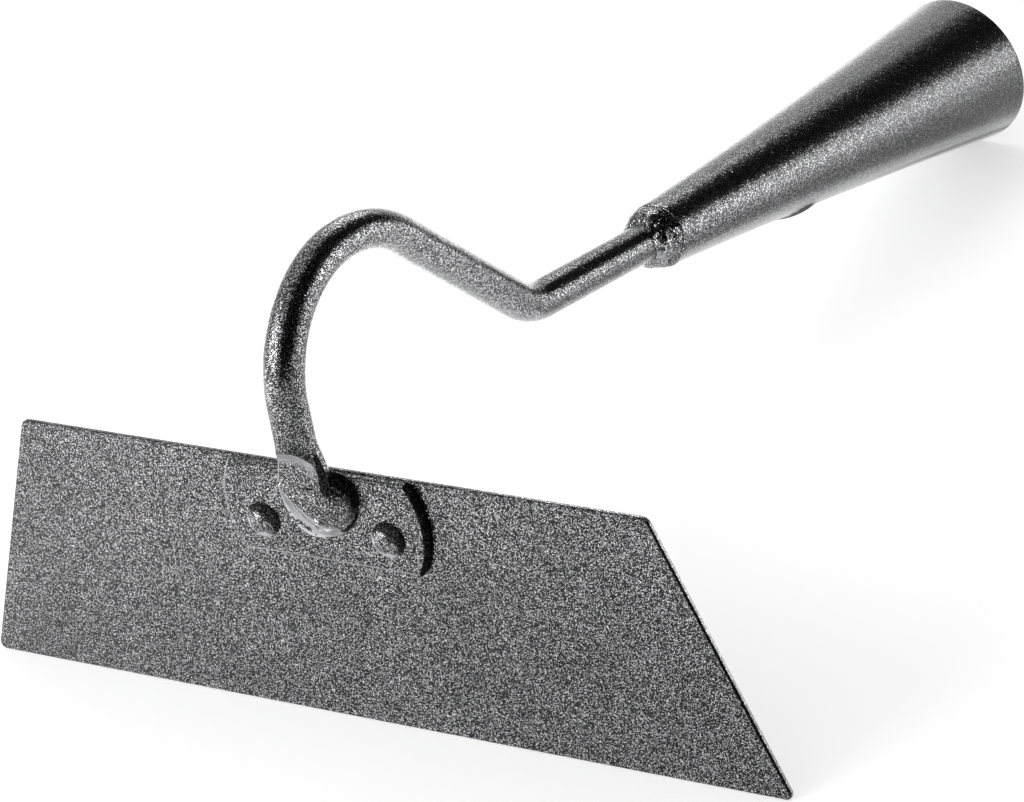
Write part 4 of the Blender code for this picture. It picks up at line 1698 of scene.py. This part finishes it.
    def build(self, place: Matrix, coats: Coats) -> bpy.types.Object:
        """Skin the wall inside and out with soft edges, and cut the screw hole.

        Args:
            place: The matrix from the socket's frame, in metres, to the row's frame.
            coats: The coats.

        Returns:
            The socket.
        """
        soft = self.edge_round
        corner = quarter_turns(self.edge_steps)
        plan = [(0.0, soft - soft * math.sin(a), soft - soft * math.cos(a)) for a in corner]
        plan += [(k / self.rings, 0.0, soft) for k in range(1, self.rings)]
        plan += [(1.0, soft - soft * math.cos(a), soft - soft * math.sin(a)) for a in corner]
        plan += [(share, self.wall - inset, end) for share, inset, end in reversed(plan)]
        turns = [math.tau * k / self.sides for k in range(self.sides)]
        rings = [[self.point(share, inset, end, turn) for turn in turns] for share, inset, end in plan]
        shades = [[self.shade(point) for point in ring] for ring in rings]
        socket = skin("handle_socket", rings, place, shades, ring_shaped=True)
        self.drill(socket, place)
        return stand_in(socket, "socket", coats, Finish.CONE)


@dataclass(frozen=True)
class Lump:
    """A lump or, where its rise is negative, a pit of the collar: its place, size, rise, and the painted
    highlight (above 0) or painted shade (below 0) on it.
    """

    distance: float
    angle: float
    radius: float
    rise: float
    shade: float = 0.0


@dataclass(frozen=True)
class Slit:
    """A slit part of the way round the collar: its distance and the angles of its two ends."""

    distance: float
    start: float
    end: float


@dataclass
class SocketWeld:
    """The lumpy collar of weld between the rod and the socket's small end.

    Distances go along the socket's axis from its small end, so that the collar's are negative.
    Angles of its lumps and slits go round that axis from +X upwards, in degrees.
    """

    rod_radius: float = SwanNeck.radius
    rod_overlap: float = 0.15
    rod_clearance: float = 0.05
    inside_radius: float = 5.6
    inside_depth: float = 2.0
    inside_lip: float = 0.02
    length: float = 7.6
    rise: float = 2.75
    curve: float = 2.5
    near_curve: float = 1.3
    near_at: float = 8.0
    near_spread: Flat = (0.5, 0.88)
    uneven: float = 0.17
    longest_at: float = -28.0
    sides: int = 260
    rings: int = 64
    # Where a lump or pit has a last value, it is its painted highlight or, below 0, its painted shade
    lumps: tuple[Lump, ...] = (
        Lump(-4.6, 98.0, 3.0, 0.45),
        Lump(-1.6, 24.0, 1.5, 0.3),
        Lump(-3.4, 2.0, 1.6, 0.3),
        Lump(-4.2, -27.0, 2.0, 0.8, 0.48),
        Lump(-1.2, -50.0, 1.6, 0.5, 0.4),
        Lump(-6.0, -52.0, 1.8, 0.45, 0.75),
        Lump(-5.4, -9.0, 0.7, -0.35, -0.3),
        Lump(-2.6, -40.0, 0.6, -0.5, -0.8),
        Lump(-0.9, -63.0, 0.6, -0.4, -0.8),
        Lump(-4.6, -48.0, 0.6, -0.5, -0.8),
    )
    slits: tuple[Slit, ...] = (Slit(-4.9, 14.0, 48.0), Slit(-2.4, -14.0, 16.0), Slit(-0.8, 30.0, 62.0))
    slit_depth: float = 0.5
    slit_width: float = 0.32
    notch: float = 0.4
    notch_at: float = 85.0
    notch_width: float = 0.45
    notch_spread: Flat = (0.3, 0.9)
    rough: float = 0.3
    rough_size: float = 2.2
    rough_seed: float = 4.4
    fine: float = 0.13
    fine_size: float = 0.9
    fine_seed: float = 8.2
    skin_round: float = 5.5
    proud_from: Flat = (0.0, 0.9)

    def relief(self, distance: float, angle: float, reach: float) -> float:
        """Give how far lumps, pits and slits move the collar's skin out.

        Args:
            distance: Distance along the socket's axis from its small end.
            angle: Angle round the axis from +X upwards, in degrees.
            reach: The skin's distance from the axis.

        Returns:
            The move in millimetres, negative inwards.
        """
        move = 0.0
        for lump in self.lumps:
            around = math.radians(turn_from(angle, lump.angle)) * reach
            move += lump.rise * hump(math.hypot(around, distance - lump.distance), 0.0, lump.radius)
        for slit in self.slits:
            middle, half = (slit.start + slit.end) / 2, (slit.end - slit.start) / 2
            past = max(abs(turn_from(angle, middle)) - half, 0.0)
            far = math.hypot(math.radians(past) * reach, distance - slit.distance)
            move -= self.slit_depth * hump(far, 0.0, self.slit_width)
        open_side = smooth_step(math.cos(math.radians(angle - self.notch_at)), *self.notch_spread)
        return move - self.notch * open_side * hump(distance, 0.0, self.notch_width)

    def shade(self, distance: float, angle: float, reach: float) -> float:
        """Give the painted light and shade at a place: painted highlights on the lumps and painted shade in
        the pits near it.

        Args:
            distance: Distance along the socket's axis from its small end.
            angle: Angle round the axis from +X upwards, in degrees.
            reach: The skin's distance from the axis.

        Returns:
            The shade.
        """
        total = 0.0
        for lump in self.lumps:
            around = math.radians(turn_from(angle, lump.angle)) * reach
            total += lump.shade * hump(math.hypot(around, distance - lump.distance), 0.0, lump.radius)
        return max(min(total, 1.0), -1.0)

    def point(self, share: float, turn: float) -> tuple[Point, float]:
        """Give one point of the collar's skin and the painted light or shade there.

        Args:
            share: Share of the way from the socket's end to the collar's thin end on the rod.
            turn: Angle round the axis, from +X towards +Y, which points down.

        Returns:
            The point in the socket's frame, and the shade.
        """
        side, down = math.cos(turn), math.sin(turn)
        angle = -math.degrees(turn)
        near = smooth_step(math.cos(math.radians(angle - self.near_at)), *self.near_spread)
        curve = self.curve + (self.near_curve - self.curve) * near
        bulge = self.rise * (1 - share**curve)
        lean = math.cos(2 * math.radians(-angle - self.longest_at))
        length = self.length * (1 - self.uneven + self.uneven * lean)
        distance = -length * share
        spot = (side * self.skin_round, down * self.skin_round, distance)
        move = self.relief(distance, angle, self.rod_radius + bulge)
        move += self.rough * lumps(spot, self.rough_size, self.rough_seed)
        move += self.fine * lumps(spot, self.fine_size, self.fine_seed)
        radius = self.rod_radius + self.rod_clearance + bulge + smooth_step(bulge, *self.proud_from) * move
        return (radius * side, radius * down, distance), self.shade(distance, angle, radius)

    def build(self, place: Matrix, coats: Coats) -> bpy.types.Object:
        """Skin the collar from inside the cone, over the bead, down to the rod.

        Args:
            place: The matrix from the socket's frame, in metres, to the row's frame.
            coats: The coats.

        Returns:
            The collar.
        """
        turns = [math.tau * k / self.sides for k in range(self.sides)]
        inside = (
            (self.rod_radius - self.rod_overlap, self.inside_depth),
            (self.inside_radius, self.inside_depth),
            (self.inside_radius, self.inside_lip),
        )
        rings = [[(r * math.cos(turn), r * math.sin(turn), z) for turn in turns] for r, z in inside]
        shades = [[0.0] * self.sides for _ in inside]
        for step in range(self.rings + 1):
            share = math.sin(QUARTER * step / self.rings)
            made = [self.point(share, turn) for turn in turns]
            rings.append([point for point, _ in made])
            shades.append([shade for _, shade in made])
        collar = skin("socket_weld_collar", rings, place, shades, ring_shaped=True)
        return stand_in(collar, "socket_weld", coats, Finish.COLLAR)


# Stage: floor, lamps and camera


@dataclass(frozen=True)
class Lamp:
    """A rectangular lamp: its place in degrees, its size in metres, how bright it looks (1 is white)."""

    name: str
    azimuth: float
    elevation: float
    size: Flat
    level: float


@dataclass(frozen=True)
class TableGlow:
    """A patch of table that glows up at the object: its middle, its size and how bright it looks."""

    name: str
    middle: Flat
    size: Flat
    level: float


@dataclass(frozen=True)
class TableSheet:
    """A dark sheet lying on the table that only the gloss shows, a painted shadow in the table's reflection:
    its corners in metres and its tone.
    """

    name: str
    corners: tuple[Flat, ...]
    tone: float


@dataclass
class Studio:
    """A white table under even light, with soft boxes, a glowing table and a dark card for the gloss.

    Sizes here are in metres and angles in degrees, azimuth from -Y towards +X. The table's
    reflection is dimmer by dim_depth towards +X and in front, between the limits dim_across and
    dim_before. card_low is the card's lower edge and card_high its upper one.
    """

    floor_size: float = 6.0
    floor_tone: float = 0.76
    floor_glow: float = 0.42
    sky_level: Flat = (0.78, 0.58)
    sky_heights: Flat = (0.1, 0.95)
    centre: Point = (0.0, -0.03, 0.05)
    lamp_distance: float = 1.0
    lamps: tuple[Lamp, ...] = (
        Lamp("left_box", -36.0, 26.0, (0.82, 0.46), 4.2),
        Lamp("right_strip", 137.0, 2.5, (0.6, 0.15), 1.7),
        Lamp("right_box", 113.0, 6.0, (0.3, 0.34), 1.8),
    )
    near_lamp: Point = (-0.107, 0.173, 0.26)
    near_size: Flat = (0.2, 0.16)
    near_level: float = 1.8
    glows: tuple[TableGlow, ...] = (
        TableGlow("glow_right", (0.43, 0.45), (0.6, 0.8), 1.1),
        TableGlow("glow_near_right", (0.2, 0.27), (0.17, 0.15), 0.8),
        TableGlow("glow_behind_right", (0.085, -0.01), (0.12, 0.12), 0.5),
        TableGlow("glow_left", (-0.42, 0.45), (0.78, 0.9), 0.6),
        TableGlow("glow_behind", (-0.13, -0.02), (0.2, 0.17), 0.9),
        TableGlow("glow_arch", (0.0, -0.065), (0.05, 0.09), 0.25),
        TableGlow("glow_front_left", (-0.5, -0.42), (0.5, 0.5), 2.0),
    )
    glow_height: float = 0.0002
    # Painted shadow of the socket in the table's reflection, seen only in the gloss
    sheets: tuple[TableSheet, ...] = (
        TableSheet(
            "black_sheet",
            (
                (0.032, 0.24), (0.07, 0.18), (0.105, 0.21), (0.155, 0.3), (0.2, 0.4), (0.2, 0.77),
                (0.032, 0.77),
            ),
            0.004,
        ),
        TableSheet("grey_sheet", ((0.016, -0.02), (0.056, -0.02), (0.056, 0.24), (0.016, 0.24)), 0.7),
    )
    sheet_height: float = 0.0004
    dim_across: Flat = (-0.12, 0.1)
    dim_before: Flat = (-0.1, -0.15)
    dim_depth: float = 0.32
    card_radius: float = 1.4
    card_tone: float = 0.005
    card_low: tuple[Flat, ...] = (
        (8.0, -4.0), (72.0, -4.0), (90.0, 14.0), (98.0, 20.0), (124.0, 20.0), (148.0, 10.0), (159.0, -11.0),
        (182.0, -12.0), (183.0, 14.0), (189.0, 24.0),
    )
    card_high: float = 82.0
    card_columns: int = 87
    card_rows: int = 14

    def way(self, azimuth: float, elevation: float) -> Vector:
        """Give the unit vector towards an azimuth and an elevation in degrees."""
        return direction(math.radians(azimuth), math.radians(elevation))

    def floor(self) -> bpy.types.Object:
        """Make the table, which keeps the object's shadow.

        Returns:
            The table.
        """
        work = bmesh.new()
        bmesh.ops.create_grid(work, x_segments=1, y_segments=1, size=self.floor_size / 2)
        obj = new_object("floor", work)
        material, wiring, shader = matt_material("floor_paper", self.floor_tone)
        shader.inputs["Emission Strength"].default_value = 1.0
        ray = wiring.add("ShaderNodeLightPath")
        seen = wiring.math("MAXIMUM", ray.outputs["Is Camera Ray"], ray.outputs["Is Glossy Ray"])
        seen = wiring.math("MAXIMUM", seen, ray.outputs["Is Transmission Ray"])
        place = wiring.axes(wiring.places("Object"))
        across = wiring.remap(place["X"], self.dim_across, (0.0, self.dim_depth))
        before = wiring.remap(place["Y"], self.dim_before, WHOLE)
        dim = wiring.math("MULTIPLY", wiring.math("MULTIPLY", across, before), ray.outputs["Is Glossy Ray"])
        glow = wiring.math("SUBTRACT", wiring.math("MULTIPLY", seen, self.floor_glow), dim)
        wiring.link(glow, shader.inputs["Emission Color"])
        obj.data.materials.append(material)
        return obj

    def card(self) -> bpy.types.Object:
        """Make the curved dark card that only the gloss shows.

        Returns:
            The card.
        """
        work = bmesh.new()
        grid = []
        start, end = self.card_low[0][0], self.card_low[-1][0]
        for c in range(self.card_columns + 1):
            azimuth = start + (end - start) * c / self.card_columns
            low = float(np.interp(azimuth, *zip(*self.card_low)))
            column = []
            for r in range(self.card_rows + 1):
                elevation = low + (self.card_high - low) * r / self.card_rows
                place = Vector(self.centre) + self.way(azimuth, elevation) * self.card_radius
                column.append(work.verts.new(place))
            grid.append(column)
        for left, right in zip(grid, grid[1:]):
            for k in range(self.card_rows):
                work.faces.new((left[k], right[k], right[k + 1], left[k + 1]))
        return self.felt("dark_card", work, self.card_tone)

    def felt(self, name: str, work: bmesh.types.BMesh, tone: float) -> bpy.types.Object:
        """Turn a mesh in the making into a sheet of felt that only the gloss shows.

        Args:
            name: The sheet's name.
            work: Its mesh, which is freed.
            tone: How light it is.

        Returns:
            The sheet.
        """
        obj = new_object(name, work)
        obj.data.materials.append(matt_material(name + "_felt", tone)[0])
        obj.visible_camera = False
        obj.visible_diffuse = False
        obj.visible_shadow = False
        obj.visible_transmission = False
        return obj

    def lay(self, sheet: TableSheet) -> bpy.types.Object:
        """Lay a sheet on the table.

        Args:
            sheet: Its name, corners and tone.

        Returns:
            The sheet.
        """
        work = bmesh.new()
        work.faces.new([work.verts.new((x, y, self.sheet_height)) for x, y in sheet.corners])
        return self.felt(sheet.name, work, sheet.tone)

    def hang(self, name: str, size: Flat, level: float, place: Vector, away: Vector) -> None:
        """Hang a rectangular lamp.

        Args:
            name: The lamp's name.
            size: Its width and height in metres.
            level: How bright it looks, where 1 is white.
            place: Where its middle is.
            away: The direction that its back faces.
        """
        light = bpy.data.lights.new(name, "AREA")
        light.shape = "RECTANGLE"
        light.size, light.size_y = size
        light.energy = level * math.pi * size[0] * size[1]
        obj = add_object(name, light)
        obj.location = place
        obj.rotation_euler = away.to_track_quat("Z", "Y").to_euler()
        obj.visible_camera = False

    def world(self) -> None:
        """Set the surroundings: pale, and a little dimmer overhead."""
        world = bpy.data.worlds.new("white_room")
        bpy.context.scene.world = world
        world.use_nodes = True
        wiring = Wiring(world.node_tree)
        background = world.node_tree.nodes["Background"]
        height = wiring.axes(wiring.places("Generated"))["Z"]
        wiring.link(wiring.remap(height, self.sky_heights, self.sky_level), background.inputs["Color"])

    def build(self) -> None:
        """Set the stage."""
        self.floor()
        self.card()
        self.world()
        centre = Vector(self.centre)
        for lamp in self.lamps:
            away = self.way(lamp.azimuth, lamp.elevation)
            self.hang(lamp.name, lamp.size, lamp.level, centre + away * self.lamp_distance, away)
        near = Vector(self.near_lamp)
        self.hang("arch_lamp", self.near_size, self.near_level, near, near - centre)
        for sheet in self.sheets:
            self.lay(sheet)
        down = Vector((0.0, 0.0, -1.0))
        for glow in self.glows:
            self.hang(glow.name, glow.size, glow.level, Vector((*glow.middle, self.glow_height)), down)


@dataclass
class PhotoCamera:
    """The camera of the photograph, given about the blade's own frame.

    Its aim and distance are in millimetres there, and its clips are in metres.
    """

    azimuth: float = VIEW_AZIMUTH
    elevation: float = VIEW_ELEVATION
    roll: float = math.radians(11.020)
    aim: Point = (15.459, 45.181, 52.392)
    distance: float = 942.184
    lens: float = 162.722
    sensor: float = 36.0
    near_clip: float = 0.05
    far_clip: float = 50.0

    def build(self) -> bpy.types.Object:
        """Stand the camera and make it the scene's.

        Returns:
            The camera.
        """
        data = bpy.data.cameras.new("photo_camera")
        data.lens = self.lens
        data.sensor_width = self.sensor
        data.clip_start = self.near_clip
        data.clip_end = self.far_clip
        obj = add_object("photo_camera", data)
        back = direction(self.azimuth, self.elevation)
        turn = back.to_track_quat("Z", "Y").to_matrix().to_4x4() @ Matrix.Rotation(-self.roll, 4, "Z")
        move = Matrix.Translation((Vector(self.aim) + back * self.distance) * MM)
        obj.matrix_world = STANCE @ move @ turn
        bpy.context.scene.camera = obj
        return obj


def main() -> None:
    """Build the head, its stage and its camera."""
    logging.basicConfig(level=logging.INFO, format="%(name)s: %(message)s")
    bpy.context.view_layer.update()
    PhotoCamera().build()
    Studio().build()
    coats = Coats()
    neck = SwanNeck()
    axis = SocketAxis(neck).matrix()
    pieces = [
        Blade().build(coats),
        ReinforcingPlate().build(coats),
        Rivet("rivet_left_set", "rivet_left", -RIVETS_APART / 2).build(coats),
        Rivet("rivet_right_set", "rivet_right", RIVETS_APART / 2).build(coats),
        neck.build(coats),
        FootWeld().build(coats),
        HandleSocket().build(axis, coats),
        SocketWeld().build(axis, coats),
    ]
    for piece in pieces:
        LOG.info("built %s with %d faces", piece.name, len(piece.data.polygons))
    bpy.context.scene.view_settings.view_transform = "Standard"


if __name__ == "__main__":
    main()
